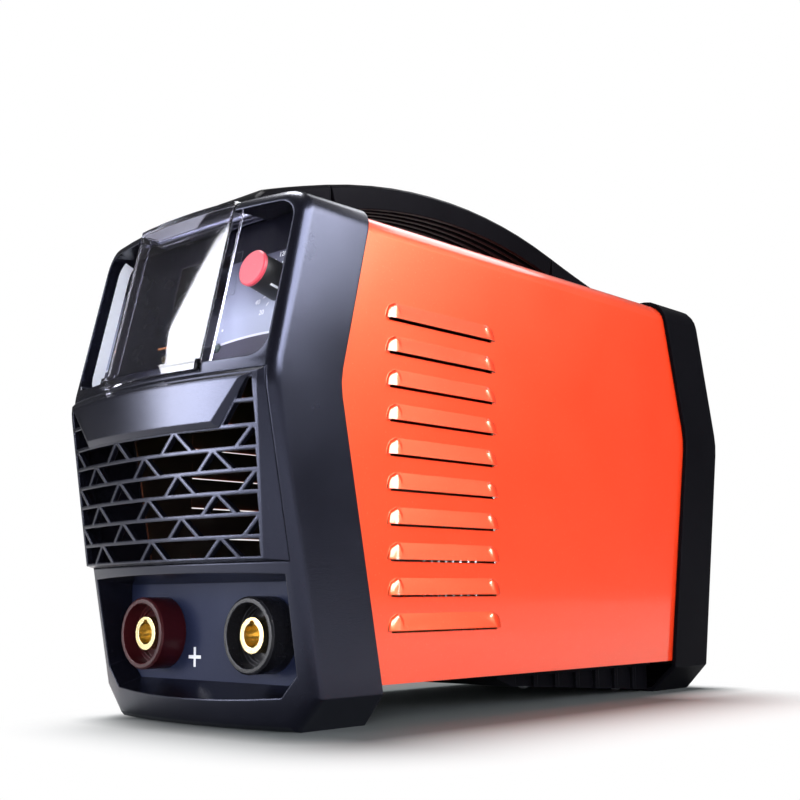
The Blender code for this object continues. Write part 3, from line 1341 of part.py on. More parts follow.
def build_fan() -> None:
    """Cooling fan behind the rear panel, with its rotor, and the guard outside. Its Z runs out."""
    turn = (-math.pi / 2, 0, 0)
    face = Vector((0, TAIL_SEAT - 2 * CLEARANCE - TAIL_PANEL, FAN_Z))
    half = FAN_SIZE / 2
    square = round_rectangle(-half, -half, half, half, FAN_CORNER, 3)
    run = Vector((0, 0, FAN_DEPTH))
    block = prism([Vector((x, y, -FAN_DEPTH)) for x, y in square], run)
    frame = piece("fan_frame", block, SOCKET_BLACK, face, turn)
    boolean(frame, "DIFFERENCE", rod(FAN_BORE, -2 * run, run, 32), local=True)
    base_top = -FAN_DEPTH + FAN_BASE_HEIGHT
    spider = rod(FAN_BASE_RADIUS, -run, Vector((0, 0, base_top)), 24)
    base = boolean(frame, "UNION", spider, local=True)
    for n in range(FAN_STRUTS):
        strut = box(
            (FAN_BASE_RADIUS / 2, -FAN_STRUT_WIDTH / 2, -FAN_DEPTH),
            (FAN_BORE + FAN_CORNER / 4, FAN_STRUT_WIDTH / 2, base_top),
        )
        around = Matrix.Rotation(math.tau * (n + 0.5) / FAN_STRUTS, 4, "Z")
        bmesh.ops.transform(strut, matrix=around, verts=strut.verts)
        boolean(base, "UNION", strut, local=True)
    build_rotor(face, turn, base_top + FAN_GAP)
    guard_face = Vector((0, TAIL_SEAT, FAN_Z))
    arm = GUARD_RADIUS + GUARD_SPOKE
    side = GUARD_SPOKE / 2
    corners = [(arm, side), (side, side), (side, arm), (-side, arm), (-side, side), (-arm, side)]
    cross = corners + [(-x, -y) for x, y in corners]
    spokes = prism([Vector((x, y, 0)) for x, y in cross], Vector((0, 0, GUARD_WIRE)))
    guard = piece("fan_guard", spokes, STEEL, guard_face, turn)
    guard.rotation_euler = (turn[0], math.pi / 4, 0)
    for n in range(GUARD_RINGS):
        middle = GUARD_RADIUS * (n + 1) / GUARD_RINGS - GUARD_WIRE / 2
        low, high = middle - GUARD_WIRE / 2, middle + GUARD_WIRE / 2
        ring = turned([(low, 0), (high, 0), (high, GUARD_WIRE), (low, GUARD_WIRE)])
        boolean(guard, "UNION", ring, local=True)


def build_rotor(face: Vector, turn: tuple[float, float, float], bottom: float) -> None:
    """Fan hub with twisted blades."""
    top = -HUB_DROP
    profile = [(0, top), (HUB_RADIUS - BLADE_THICKNESS, top), (HUB_RADIUS, top - BLADE_THICKNESS)]
    profile += [(HUB_RADIUS, bottom), (0, bottom)]
    rotor = piece("fan_rotor", turned(profile), SOCKET_BLACK, face, turn)
    blades = bmesh.new()
    middle = (top + bottom) / 2
    root = (HUB_RADIUS - BLADE_THICKNESS, BLADE_CHORD_ROOT, BLADE_PITCH_ROOT)
    tip = (BLADE_TIP, BLADE_CHORD_TIP, BLADE_PITCH_TIP)
    sections = (root, tuple((a + b) / 2 for a, b in zip(root, tip)), tip)
    for n in range(BLADES):
        around = Matrix.Rotation(math.tau * n / BLADES, 4, "Z")
        loops = []
        for radius, width, pitch in sections:
            along = Vector((0, math.cos(math.radians(pitch)), math.sin(math.radians(pitch))))
            across = Vector((0, -along.z, along.y))
            hub = Vector((radius, 0, middle))
            corners = ((-1, -1), (1, -1), (1, 1), (-1, 1))
            loop = [hub + along * width / 2 * u + across * BLADE_THICKNESS / 2 * v for u, v in corners]
            loops.append([blades.verts.new(around @ p) for p in loop])
        for near, far in zip(loops, loops[1:]):
            for k in range(4):
                blades.faces.new((near[k - 1], near[k], far[k], far[k - 1]))
        blades.faces.new(loops[0])
        blades.faces.new(loops[-1])
    bmesh.ops.triangulate(blades, faces=blades.faces)
    boolean(rotor, "UNION", blades, local=True)
    smooth(rotor)


def build_switch() -> None:
    """Mains rocker switch in the rear panel. The rocker rests with its upper end pressed."""
    face = TAIL_SEAT
    wide, tall = SWITCH_WIDTH / 2, SWITCH_HEIGHT / 2
    rim_wide, rim_tall = wide + SWITCH_FLANGE, tall + SWITCH_FLANGE
    low = (SWITCH_X - rim_wide, face, SWITCH_Z - rim_tall)
    flange = box(low, (SWITCH_X + rim_wide, face + SWITCH_FLANGE, SWITCH_Z + rim_tall))
    housing = piece("switch_housing", flange, SOCKET_BLACK)
    low = (SWITCH_X - wide, face - SWITCH_DEPTH, SWITCH_Z - tall)
    boolean(housing, "UNION", box(low, (SWITCH_X + wide, face + SWITCH_FLANGE / 2, SWITCH_Z + tall)))
    outer = face + SWITCH_FLANGE
    low = (SWITCH_X - wide + SWITCH_WALL, outer - POCKET_DEPTH, SWITCH_Z - tall + SWITCH_WALL)
    high = (SWITCH_X + wide - SWITCH_WALL, outer + OVERCUT, SWITCH_Z + tall - SWITCH_WALL)
    boolean(housing, "DIFFERENCE", box(low, high))
    pivot = Vector((SWITCH_X, outer - PIVOT_DROP, SWITCH_Z))
    tilt = math.radians(ROCKER_TILT_DEG)
    reach = (tall - SWITCH_WALL) * math.cos(tilt) - 2 * CLEARANCE
    edge = reach * math.cos(tilt)
    depth = POCKET_DEPTH - PIVOT_DROP - CLEARANCE
    heel = depth * math.cos(math.radians(45))
    profile = [(ROCKER_RISE, edge), (PIVOT_DROP / 2, 0), (ROCKER_RISE, -edge), (0, -edge)]
    profile += [(-heel, -heel), (-depth, 0), (-heel, heel), (0, edge)]
    half = wide - SWITCH_WALL - CLEARANCE
    blank = prism([Vector((-half, y, z)) for y, z in profile], Vector((2 * half, 0, 0)))
    piece("switch_rocker", blank, KNOB_BLACK, pivot, (tilt, 0, 0))


def build_gland_and_earth() -> None:
    """Mains cable gland with its cap and lock nut, and the earth stud with its nut. Z runs out."""
    turn = (-math.pi / 2, 0, 0)
    place = Vector((GLAND_X, TAIL_SEAT, GLAND_Z))
    body = hex_ring(GLAND_HEX, GLAND_BORE, 0, GLAND_HEX_HEIGHT)
    gland = piece("cable_gland", body, SOCKET_BLACK, place, turn)
    low = -TAIL_PANEL - GLAND_TAIL
    high = GLAND_HEX_HEIGHT + GLAND_CAP_HEIGHT / 2
    spigot = [(GLAND_BORE, low), (GLAND_THREAD, low), (GLAND_THREAD, high), (GLAND_BORE, high)]
    boolean(gland, "UNION", turned(spigot), local=True)
    foot = GLAND_HEX_HEIGHT + CLEARANCE
    cap_top = foot + GLAND_CAP_HEIGHT
    shoulder = cap_top - GLAND_CAP_HEIGHT / 4
    bore = GLAND_THREAD + CLEARANCE
    cap = [
        (bore, foot),
        (GLAND_CAP_RADIUS, foot),
        (GLAND_CAP_RADIUS, shoulder),
        (GLAND_THREAD, cap_top),
        (GLAND_BORE, cap_top),
        (GLAND_BORE, high + CLEARANCE),
        (bore, high + CLEARANCE),
    ]
    smooth(piece("gland_cap", turned(cap), SOCKET_BLACK, place, turn))
    seat = -3 * CLEARANCE - TAIL_PANEL
    nut = hex_ring(GLAND_HEX, bore, seat - GLAND_NUT_THICKNESS, seat)
    piece("gland_lock_nut", nut, SOCKET_BLACK, place, turn)
    place = Vector((EARTH_X, TAIL_SEAT, EARTH_Z))
    head = rod(EARTH_HEX, Vector((0, 0, seat - EARTH_HEX_HEIGHT)), Vector((0, 0, seat)), 6)
    stud = piece("earth_stud", head, STEEL, place, turn)
    shank = rod(EARTH_RADIUS, Vector((0, 0, seat - EARTH_HEX_HEIGHT / 2)), Vector((0, 0, EARTH_LENGTH)), 16)
    boolean(stud, "UNION", shank, local=True)
    ring = hex_ring(EARTH_HEX, EARTH_RADIUS + CLEARANCE, 0, EARTH_HEX_HEIGHT)
    piece("earth_nut", ring, BRASS, place, turn)


def build_power_stage() -> None:
    """Main board on the tray's pillars, with heat sinks, transformer, choke, cans and rectifier."""
    floor = board_top() - BOARD_THICKNESS
    half = MAIN_BOARD_WIDTH / 2
    near, far = MAIN_BOARD_Y - MAIN_BOARD_LENGTH / 2, MAIN_BOARD_Y + MAIN_BOARD_LENGTH / 2
    piece("main_board", box((-half, near, floor), (half, far, board_top())), BOARD_GREEN)
    seat = board_top() + CLEARANCE
    for name, side in (("heat_sink_left", -1), ("heat_sink_right", 1)):
        left = SINK_GAP / 2 if side > 0 else -SINK_GAP / 2 - SINK_WIDTH
        comb = [(x, z + seat) for x, z in sink_section(left)]
        start = SINK_Y - SINK_LENGTH / 2
        piece(name, prism(along_y(comb, start), Vector((0, SINK_LENGTH, 0))), ALUMINIUM)
    build_transformer(seat)
    ring = [(CHOKE_BORE, 0), (CHOKE_RADIUS, 0), (CHOKE_RADIUS, CHOKE_HEIGHT), (CHOKE_BORE, CHOKE_HEIGHT)]
    smooth(piece("output_choke", turned(ring, 32), WINDING, (CHOKE_X, CORE_Y, seat)))
    can = [(0, CAN_HEIGHT), (CAN_RADIUS - CAN_EDGE, CAN_HEIGHT), (CAN_RADIUS, CAN_HEIGHT - CAN_EDGE)]
    can += [(CAN_RADIUS, 0), (0, 0)]
    for n in range(CAN_COUNT):
        y = CAN_Y + n * CAN_PITCH
        smooth(piece(f"capacitor_{n + 1}", turned(can, 24), CAN_BLACK, (0, y, seat)))
    side = RECTIFIER_SIDE / 2
    low = (-side, RECTIFIER_Y - side, seat)
    piece("bridge_rectifier", box(low, (side, RECTIFIER_Y + side, seat + RECTIFIER_HEIGHT)), CAN_BLACK)


def sink_section(left: float) -> list[tuple[float, float]]:
    """Comb section of a heat sink: a base with upright fins."""
    pitch = (SINK_WIDTH - SINK_FIN) / (SINK_FINS - 1)
    outline = [(left, 0), (left + SINK_WIDTH, 0)]
    for n in reversed(range(SINK_FINS)):
        fin = left + n * pitch
        outline += [(fin + SINK_FIN, SINK_BASE)] if n < SINK_FINS - 1 else []
        outline += [(fin + SINK_FIN, SINK_HEIGHT), (fin, SINK_HEIGHT)]
        outline += [(fin, SINK_BASE)] if n else []
    return outline


def build_transformer(seat: float) -> None:
    """E-core transformer: a ferrite frame with two windows, and the winding round its middle leg."""
    left = CORE_X - CORE_WIDTH / 2
    near = CORE_Y - CORE_DEPTH / 2
    block = box((left, near, seat), (left + CORE_WIDTH, near + CORE_DEPTH, seat + CORE_HEIGHT))
    core = piece("transformer_core", block, FERRITE)
    windows = bmesh.new()
    low, high = seat + CORE_LEG, seat + CORE_HEIGHT - CORE_LEG
    right = left + CORE_WIDTH
    for start, end in ((left + CORE_LEG, CORE_X - CORE_LEG), (CORE_X + CORE_LEG, right - CORE_LEG)):
        box((start, near - OVERCUT, low), (end, near + CORE_DEPTH + OVERCUT, high), windows)
    boolean(core, "DIFFERENCE", windows)
    wide = CORE_WIDTH / 2 - CORE_LEG - CLEARANCE
    deep = CORE_DEPTH / 2 + wide - CORE_LEG
    bottom, top = low + CLEARANCE, high - CLEARANCE
    outline = round_rectangle(-wide, -deep, wide, deep, wide - CORE_LEG, 4)
    coil = prism([Vector((x, y, bottom)) for x, y in outline], Vector((0, 0, top - bottom)))
    winding = piece("transformer_winding", coil, WINDING, (CORE_X, CORE_Y, 0))
    leg, depth = CORE_LEG + CLEARANCE, CORE_DEPTH / 2 + CLEARANCE
    passage = box((-leg, -depth, bottom - OVERCUT), (leg, depth, top + OVERCUT))
    boolean(winding, "DIFFERENCE", passage, local=True)


def centre_lengthwise() -> None:
    """Moves the machine along Y, so that its overall length is centred on the origin."""
    z = apron_rows(APRON_CHAMFER)[1][0]
    front_reach = field(0, z) + APRON_RAISE
    rear_reach = outer_face(CASE_WIDTH / 2 - TAIL_RIM, CREASE_HEIGHT)
    for obj in bpy.data.objects:
        if obj.parent is None:
            obj.location.y += (front_reach - rear_reach) / 2


def main() -> None:
    for obj in list(bpy.data.objects):
        bpy.data.objects.remove(obj, do_unlink=True)
    build_front_bezel()
    build_grille()
    build_control_panel()
    build_visor()
    build_knob()
    build_sockets()
    build_cover()
    build_handle()
    build_base()
    build_tail()
    build_fan()
    build_switch()
    build_gland_and_earth()
    build_power_stage()
    centre_lengthwise()


main()
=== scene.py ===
"""Looks of a stick welding inverter: finishes, marks, fasteners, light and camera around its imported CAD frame."""

import json
import logging
import math
from dataclasses import dataclass, field
from enum import Enum
from functools import lru_cache

import bmesh
import bpy
from mathutils import Matrix, Vector
from mathutils.bvhtree import BVHTree

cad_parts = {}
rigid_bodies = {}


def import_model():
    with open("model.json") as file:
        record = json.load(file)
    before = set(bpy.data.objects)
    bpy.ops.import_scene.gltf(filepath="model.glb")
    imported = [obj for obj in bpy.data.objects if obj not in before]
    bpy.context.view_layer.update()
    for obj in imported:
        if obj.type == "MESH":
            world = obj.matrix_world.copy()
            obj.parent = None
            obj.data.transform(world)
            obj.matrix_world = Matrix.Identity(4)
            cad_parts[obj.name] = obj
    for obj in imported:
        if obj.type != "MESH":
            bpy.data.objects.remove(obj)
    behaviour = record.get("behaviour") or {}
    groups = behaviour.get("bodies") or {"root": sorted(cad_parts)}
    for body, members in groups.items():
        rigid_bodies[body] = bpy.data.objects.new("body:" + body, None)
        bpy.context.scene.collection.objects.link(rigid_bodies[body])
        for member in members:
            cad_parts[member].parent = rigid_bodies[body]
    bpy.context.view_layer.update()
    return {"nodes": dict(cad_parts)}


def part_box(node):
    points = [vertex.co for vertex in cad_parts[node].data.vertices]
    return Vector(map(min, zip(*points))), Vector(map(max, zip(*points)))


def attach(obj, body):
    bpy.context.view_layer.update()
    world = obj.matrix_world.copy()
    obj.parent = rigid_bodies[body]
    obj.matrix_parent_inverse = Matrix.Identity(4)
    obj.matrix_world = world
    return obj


for startup_object in list(bpy.data.objects):
    bpy.data.objects.remove(startup_object)
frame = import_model()

Colour = tuple[float, float, float]
Socket = bpy.types.NodeSocket
LOG = logging.getLogger("inverter")

CASE_HALF = 0.094  # half of the case's width
PANEL_SLOPE = 26 / 106  # how far the control panel leans back for each unit of its height
UP = Vector((0, 0, 1))
FRONT = Vector((0, -1, 0))
REAR = Vector((0, 1, 0))
RIGHT = Vector((1, 0, 0))
BELOW = Vector((0, 0, -1))


class Body(Enum):
    """The rigid bodies that pieces ride on."""

    CASE = "case"
    KNOB = "knob"
    ROCKER = "rocker"


class Role(Enum):
    """What a lamp is for."""

    FILL = "fill"
    SHINE = "shine"


class Shader:
    """A node tree, with short calls that add nodes and join them."""

    def __init__(self, tree: bpy.types.NodeTree) -> None:
        """Takes the tree to work on."""
        self.tree = tree

    def feed(self, socket: Socket, value: object) -> None:
        """Joins a socket to another one, or sets its own value.

        Args:
            socket: the input to feed.
            value: an output socket, or a plain value.
        """
        if isinstance(value, Socket):
            self.tree.links.new(value, socket)
        else:
            socket.default_value = value

    def add(self, kind: str, sockets: dict[str, object] | None = None, **settings: object) -> bpy.types.Node:
        """Adds a node.

        Args:
            kind: the node's class, without its ShaderNode prefix.
            sockets: what each named input gets.
            settings: the node's own properties.

        Returns:
            The new node.
        """
        node = self.tree.nodes.new("ShaderNode" + kind)
        for name, value in settings.items():
            setattr(node, name, value)
        for name, value in (sockets or {}).items():
            self.feed(node.inputs[name], value)
        return node

    def maths(self, operation: str, first: object, second: object = 0.0, clamp: bool = False) -> Socket:
        """Adds a Math node.

        Args:
            operation: the sum to work out.
            first: its first value.
            second: its second value.
            clamp: whether the result is kept from 0 to 1.

        Returns:
            The result's socket.
        """
        node = self.tree.nodes.new("ShaderNodeMath")
        node.operation = operation
        node.use_clamp = clamp
        self.feed(node.inputs[0], first)
        self.feed(node.inputs[1], second)
        return node.outputs[0]

    def blend(self, share: object, first: object, second: object) -> Socket:
        """Mixes two colours.

        Args:
            share: how much of the second one shows.
            first: the colour at a share of 0.
            second: the colour at a share of 1.

        Returns:
            The mixed colour's socket.
        """
        node = self.tree.nodes.new("ShaderNodeMix")
        node.data_type = "RGBA"
        self.feed(node.inputs[0], share)
        self.feed(node.inputs[6], first)
        self.feed(node.inputs[7], second)
        return node.outputs[2]

    def spread(self, value: Socket, low: float, high: float, start: float = 0.0, end: float = 1.0) -> Socket:
        """Maps a range of values to another one, clamped.

        Args:
            value: what is mapped.
            low: the value that becomes start.
            high: the value that becomes end.
            start: the result at low.
            end: the result at high.

        Returns:
            The mapped value's socket.
        """
        sockets = {"Value": value, "From Min": low, "From Max": high, "To Min": start, "To Max": end}
        return self.add("MapRange", sockets).outputs["Result"]

    def place(self) -> Socket:
        """Returns the piece's own coordinates, in metres."""
        return self.add("TexCoord").outputs["Object"]

    def group(self, effect: "Effect", sockets: dict[str, object]) -> bpy.types.Node:
        """Places a shared effect.

        Args:
            effect: which one.
            sockets: what each of its inputs gets.

        Returns:
            The group node.
        """
        node = self.tree.nodes.new("ShaderNodeGroup")
        node.node_tree = effect_tree(effect)
        for name, value in sockets.items():
            self.feed(node.inputs[name], value)
        return node


class Effect(Enum):
    """Surface effects that several finishes share."""

    GRAIN = "moulded_grain"
    WEAR = "edge_wear"
    CLOUD = "uneven_cloud"
    SCUFF = "fine_scuffs"


EFFECT_SOCKETS: dict[Effect, tuple[dict[str, float], tuple[str, ...]]] = {
    Effect.GRAIN: ({"Scale": 900.0}, ("Height", "Fleck")),
    Effect.WEAR: ({"Radius": 0.0008, "Breakup": 90.0}, ("Mask", "Normal")),
    Effect.CLOUD: ({"Scale": 9.0}, ("Value",)),
    Effect.SCUFF: ({"Scale": 60.0}, ("Mask",)),
}


@lru_cache(maxsize=None)
def effect_tree(effect: Effect) -> bpy.types.NodeTree:
    """Builds a shared effect once.

    Args:
        effect: which one.

    Returns:
        Its node group.
    """
    tree = bpy.data.node_groups.new(effect.value, "ShaderNodeTree")
    given, made = EFFECT_SOCKETS[effect]
    for name, value in given.items():
        tree.interface.new_socket(name, in_out="INPUT", socket_type="NodeSocketFloat").default_value = value
    for name in made:
        kind = "NodeSocketVector" if name == "Normal" else "NodeSocketFloat"
        tree.interface.new_socket(name, in_out="OUTPUT", socket_type=kind)
    shader = Shader(tree)
    inputs = tree.nodes.new("NodeGroupInput").outputs
    outputs = tree.nodes.new("NodeGroupOutput").inputs
    maker = {
        Effect.GRAIN: make_grain,
        Effect.WEAR: make_wear,
        Effect.CLOUD: make_cloud,
        Effect.SCUFF: make_scuffs,
    }[effect]
    for name, socket in maker(shader, inputs).items():
        shader.feed(outputs[name], socket)
    return tree


def make_grain(shader: Shader, inputs: bpy.types.bpy_prop_collection) -> dict[str, Socket]:
    """Builds the pebbled grain of a spark-eroded mould.

    Args:
        shader: the group's tree.
        inputs: the group's inputs.

    Returns:
        The socket for each output.
    """
    place = shader.place()
    pebbles = shader.add("TexVoronoi", {"Vector": place, "Scale": inputs["Scale"]}, feature="SMOOTH_F1")
    fine = shader.add("TexNoise", {"Vector": place, "Scale": inputs["Scale"], "Detail": 3.0})
    height = shader.maths("ADD", pebbles.outputs["Distance"], fine.outputs["Fac"])
    fleck = shader.spread(fine.outputs["Fac"], 0.62, 0.74)
    return {"Height": height, "Fleck": fleck}


def make_wear(shader: Shader, inputs: bpy.types.bpy_prop_collection) -> dict[str, Socket]:
    """Builds softened edges and a broken mask along them.

    Args:
        shader: the group's tree.
        inputs: the group's inputs.

    Returns:
        The socket for each output.
    """
    rounded = shader.add("Bevel", {"Radius": inputs["Radius"]}, samples=6).outputs["Normal"]
    sharp = shader.add("NewGeometry").outputs["Normal"]
    turn = shader.add("VectorMath", operation="DOT_PRODUCT")
    shader.feed(turn.inputs[0], rounded)
    shader.feed(turn.inputs[1], sharp)
    edge = shader.spread(turn.outputs["Value"], 0.995, 0.86)
    patches = shader.add("TexNoise", {"Vector": shader.place(), "Scale": inputs["Breakup"], "Detail": 4.0})
    broken = shader.spread(patches.outputs["Fac"], 0.35, 0.65, 0.35, 1.0)
    return {"Mask": shader.maths("MULTIPLY", edge, broken), "Normal": rounded}


def make_cloud(shader: Shader, inputs: bpy.types.bpy_prop_collection) -> dict[str, Socket]:
    """Builds a slow, uneven cloud.

    Args:
        shader: the group's tree.
        inputs: the group's inputs.

    Returns:
        The socket for each output.
    """
    noise = shader.add("TexNoise", {"Vector": shader.place(), "Scale": inputs["Scale"], "Detail": 5.0})
    sockets = {"Value": noise.outputs["Fac"], "From Min": 0.2, "From Max": 0.8}
    return {"Value": shader.add("MapRange", sockets, interpolation_type="SMOOTHSTEP").outputs["Result"]}


def make_scuffs(shader: Shader, inputs: bpy.types.bpy_prop_collection) -> dict[str, Socket]:
    """Builds hairline scuffs that cross at random.

    Args:
        shader: the group's tree.
        inputs: the group's inputs.

    Returns:
        The socket for each output.
    """
    stretched = shader.add("Mapping", {"Vector": shader.place(), "Scale": (1.0, 1.0, 0.06)})
    stretched.inputs["Rotation"].default_value = (0.5, 0.35, 0.2)
    lines = shader.add("TexNoise", {"Vector": stretched.outputs[0], "Scale": inputs["Scale"], "Detail": 6.0})
    return {"Mask": shader.spread(lines.outputs["Fac"], 0.63, 0.70)}


@dataclass(frozen=True)
class Finish:
    """A surface with an uneven base colour, grain, softened edges and a little wear along them.

    Attributes:
        name: the material's name.
        slot: the record's material slot.
        colour: its main colour.
        shade: what the clouds turn it to.
        worn: what shows along its edges.
        roughness: its mean roughness.
        wander: how far the roughness goes either way.
        metallic: 1 for bare metal.
        grain: the grain's scale.
        relief: the depth of the grain, in metres.
        edge: the radius that its edges are softened to.
        wear: how strongly the edges are worn.
        coat: the weight of its clear coat.
        specular: its specular level.
        sheen: the tint of its highlights.
    """

    name: str
    slot: str
    colour: Colour
    shade: Colour
    worn: Colour
    roughness: float
    wander: float = 0.08
    metallic: float = 0.0
    grain: float = 900.0
    relief: float = 0.00003
    edge: float = 0.0008
    wear: float = 0.35
    coat: float = 0.0
    specular: float = 0.5
    sheen: Colour = (1.0, 1.0, 1.0)

    @lru_cache(maxsize=None)
    def material(self) -> bpy.types.Material:
        """Returns the finish's material, built once."""
        made = bpy.data.materials.new(self.name)
        made.use_nodes = True
        shader = Shader(made.node_tree)
        self.dress(shader, made.node_tree.nodes["Principled BSDF"])
        return made

    def dress(self, shader: Shader, surface: bpy.types.Node) -> None:
        """Feeds the material's surface.

        Args:
            shader: the material's tree.
            surface: its Principled BSDF.
        """
        surface.inputs["Metallic"].default_value = self.metallic
        surface.inputs["Specular IOR Level"].default_value = self.specular
        surface.inputs["Specular Tint"].default_value = (*self.sheen, 1.0)
        surface.inputs["Coat Weight"].default_value = self.coat
        surface.inputs["Coat Roughness"].default_value = 0.08
        wear = shader.group(Effect.WEAR, {"Radius": self.edge})
        grain = shader.group(Effect.GRAIN, {"Scale": self.grain})
        worn = shader.maths("MULTIPLY", wear.outputs["Mask"], self.wear)
        colour = shader.blend(worn, self.base(shader, grain.outputs["Fleck"]), (*self.worn, 1.0))
        shader.feed(surface.inputs["Base Color"], colour)
        shader.feed(surface.inputs["Roughness"], self.gloss(shader))
        bump = {"Height": grain.outputs["Height"], "Normal": wear.outputs["Normal"], "Distance": self.relief}
        shader.feed(surface.inputs["Normal"], shader.add("Bump", bump).outputs["Normal"])

    def base(self, shader: Shader, fleck: Socket) -> Socket:
        """Mixes the base colour.

        Args:
            shader: the material's tree.
            fleck: the grain's high spots.

        Returns:
            The colour's socket.
        """
        cloud = shader.group(Effect.CLOUD, {"Scale": 9.0}).outputs["Value"]
        uneven = shader.blend(cloud, (*self.colour, 1.0), (*self.shade, 1.0))
        return shader.blend(shader.maths("MULTIPLY", fleck, 0.25), uneven, (*self.worn, 1.0))

    def gloss(self, shader: Shader) -> Socket:
        """Returns the roughness, which wanders over the surface."""
        cloud = shader.group(Effect.CLOUD, {"Scale": 22.0}).outputs["Value"]
        low, high = self.roughness - self.wander, self.roughness + self.wander
        return shader.spread(cloud, 0.0, 1.0, max(low, 0.02), min(high, 1.0))


@dataclass(frozen=True)
class TurnedMetal(Finish):
    """Bare metal with the fine rings of a lathe along one axis.

    Attributes:
        ring_axis: the axis that the rings step along.
        rings: their scale.
    """

    ring_axis: str = "Y"
    rings: float = 700.0

    def dress(self, shader: Shader, surface: bpy.types.Node) -> None:
        """Feeds the surface, with the rings added to its relief.

        Args:
            shader: the material's tree.
            surface: its Principled BSDF.
        """
        super().dress(shader, surface)
        marks = {"Vector": shader.place(), "Scale": self.rings, "Distortion": 0.6, "Detail": 2.0}
        wave = shader.add("TexWave", marks, bands_direction=self.ring_axis)
        under = surface.inputs["Normal"].links[0].from_socket
        bump = {"Height": wave.outputs["Fac"], "Normal": under, "Distance": self.relief, "Strength": 0.6}
        shader.feed(surface.inputs["Normal"], shader.add("Bump", bump).outputs["Normal"])


@dataclass(frozen=True)
class PaintedSheet(Finish):
    """Powder coat on the outside of a folded cover, with painted shade: a near-black colour inside it and on its
    cut ends, where the case's interior lies in shadow.

    Attributes:
        painted_inside_shade: the near-black painted shade inside the cover and on its cut ends.
        roof: the height over which a face that looks down is inside the cover and takes the painted shade.
    """

    painted_inside_shade: Colour = (0.010, 0.007, 0.007)
    roof: float = 0.2

    def base(self, shader: Shader, fleck: Socket) -> Socket:
        """Mixes the coat with the painted shade inside.

        Args:
            shader: the material's tree.
            fleck: the grain's high spots.

        Returns:
            The colour's socket.
        """
        place = shader.add("SeparateXYZ", {"Vector": shader.place()}).outputs
        facing = shader.add("SeparateXYZ", {"Vector": shader.add("NewGeometry").outputs["Normal"]}).outputs
        # Painted shade: faces turned inwards, the roof's underside and the cut ends take a near-black colour for
        # the dark interior.
        inward = shader.maths("LESS_THAN", shader.maths("MULTIPLY", place["X"], facing["X"]), -0.01)
        under = shader.maths("LESS_THAN", facing["Z"], -0.7)
        ceiling = shader.maths("MULTIPLY", under, shader.maths("GREATER_THAN", place["Z"], self.roof))
        cut = shader.maths("GREATER_THAN", shader.maths("ABSOLUTE", facing["Y"]), 0.9)
        inside = shader.maths("MAXIMUM", shader.maths("MAXIMUM", inward, ceiling), cut)
        return shader.blend(inside, super().base(shader, fleck), (*self.painted_inside_shade, 1.0))


@dataclass(frozen=True)
class PrintedFilm(Finish):
    """The control panel's film: a pale field that darkens upwards, a dark band above, one below and one mid-left.

    Attributes:
        pale: the field's colour at its foot.
        dark: the upper band's colour, and that of the field round the display.
        low: the lower band's colour.
        fade_foot: height at which the field starts to darken.
        upper_band: height of the upper band's lower edge.
        lower_band: height of the lower band's upper edge, where it is highest.
        crest: how far from the middle that is.
        arch: how much lower that edge is at half the panel's width from its crest.
        line: the width of the pale line round the lower band.
        display: where the dark field round the display starts and ends, across the panel.
    """

    pale: Colour = (0.40, 0.43, 0.56)
    dark: Colour = (0.005, 0.005, 0.009)
    low: Colour = (0.085, 0.082, 0.112)
    fade_foot: float = 0.224
    upper_band: float = 0.2605
    lower_band: float = 0.2117
    crest: float = 0.055
    arch: float = 0.0145
    line: float = 0.0007
    display: tuple[float, float] = (-0.0848, 0.0200)

    def base(self, shader: Shader, fleck: Socket) -> Socket:
        """Mixes the printed colours.

        Args:
            shader: the material's tree.
            fleck: the grain's high spots.

        Returns:
            The colour's socket.
        """
        axes = shader.add("SeparateXYZ", {"Vector": shader.place()}).outputs
        fade = shader.spread(axes["Z"], self.fade_foot, self.upper_band)
        ground = shader.blend(fade, (*self.pale, 1.0), (*self.shade, 1.0))
        away = shader.maths("SUBTRACT", shader.maths("ABSOLUTE", axes["X"]), self.crest)
        share = shader.maths("DIVIDE", away, CASE_HALF)
        curve = shader.maths("MULTIPLY", shader.maths("MULTIPLY", share, share), self.arch)
        rise = shader.maths("ADD", axes["Z"], curve)
        edge = shader.maths("COMPARE", rise, self.lower_band)
        edge.node.inputs[2].default_value = self.line
        edged = shader.blend(edge, ground, (*self.worn, 1.0))
        below = shader.maths("LESS_THAN", rise, self.lower_band - self.line)
        banded = shader.blend(below, edged, (*self.low, 1.0))
        above = shader.maths("GREATER_THAN", axes["Z"], self.upper_band)
        start, end = self.display
        past = shader.maths("MULTIPLY", shader.maths("GREATER_THAN", axes["X"], start),
                            shader.maths("LESS_THAN", axes["X"], end))
        return shader.blend(shader.maths("MAXIMUM", above, past), banded, (*self.dark, 1.0))


@dataclass(frozen=True)
class ClearPlastic(Finish):
    """Polished plastic that light goes through, with faint handling scuffs.

    Attributes:
        index: its index of refraction.
    """

    index: float = 1.49

    def dress(self, shader: Shader, surface: bpy.types.Node) -> None:
        """Feeds the surface.

        Args:
            shader: the material's tree.
            surface: its Principled BSDF.
        """
        surface.inputs["Transmission Weight"].default_value = 1.0
        surface.inputs["IOR"].default_value = self.index
        cloud = shader.group(Effect.CLOUD, {"Scale": 14.0}).outputs["Value"]
        tint = shader.blend(cloud, (*self.colour, 1.0), (*self.shade, 1.0))
        shader.feed(surface.inputs["Base Color"], tint)
        scuffs = shader.group(Effect.SCUFF, {"Scale": 70.0}).outputs["Mask"]
        rough = shader.spread(scuffs, 0.0, 1.0, self.roughness, self.roughness + self.wander)
        shader.feed(surface.inputs["Roughness"], rough)
        wear = shader.group(Effect.WEAR, {"Radius": self.edge})
        bump = {"Height": scuffs, "Normal": wear.outputs["Normal"], "Distance": self.relief}
        shader.feed(surface.inputs["Normal"], shader.add("Bump", bump).outputs["Normal"])


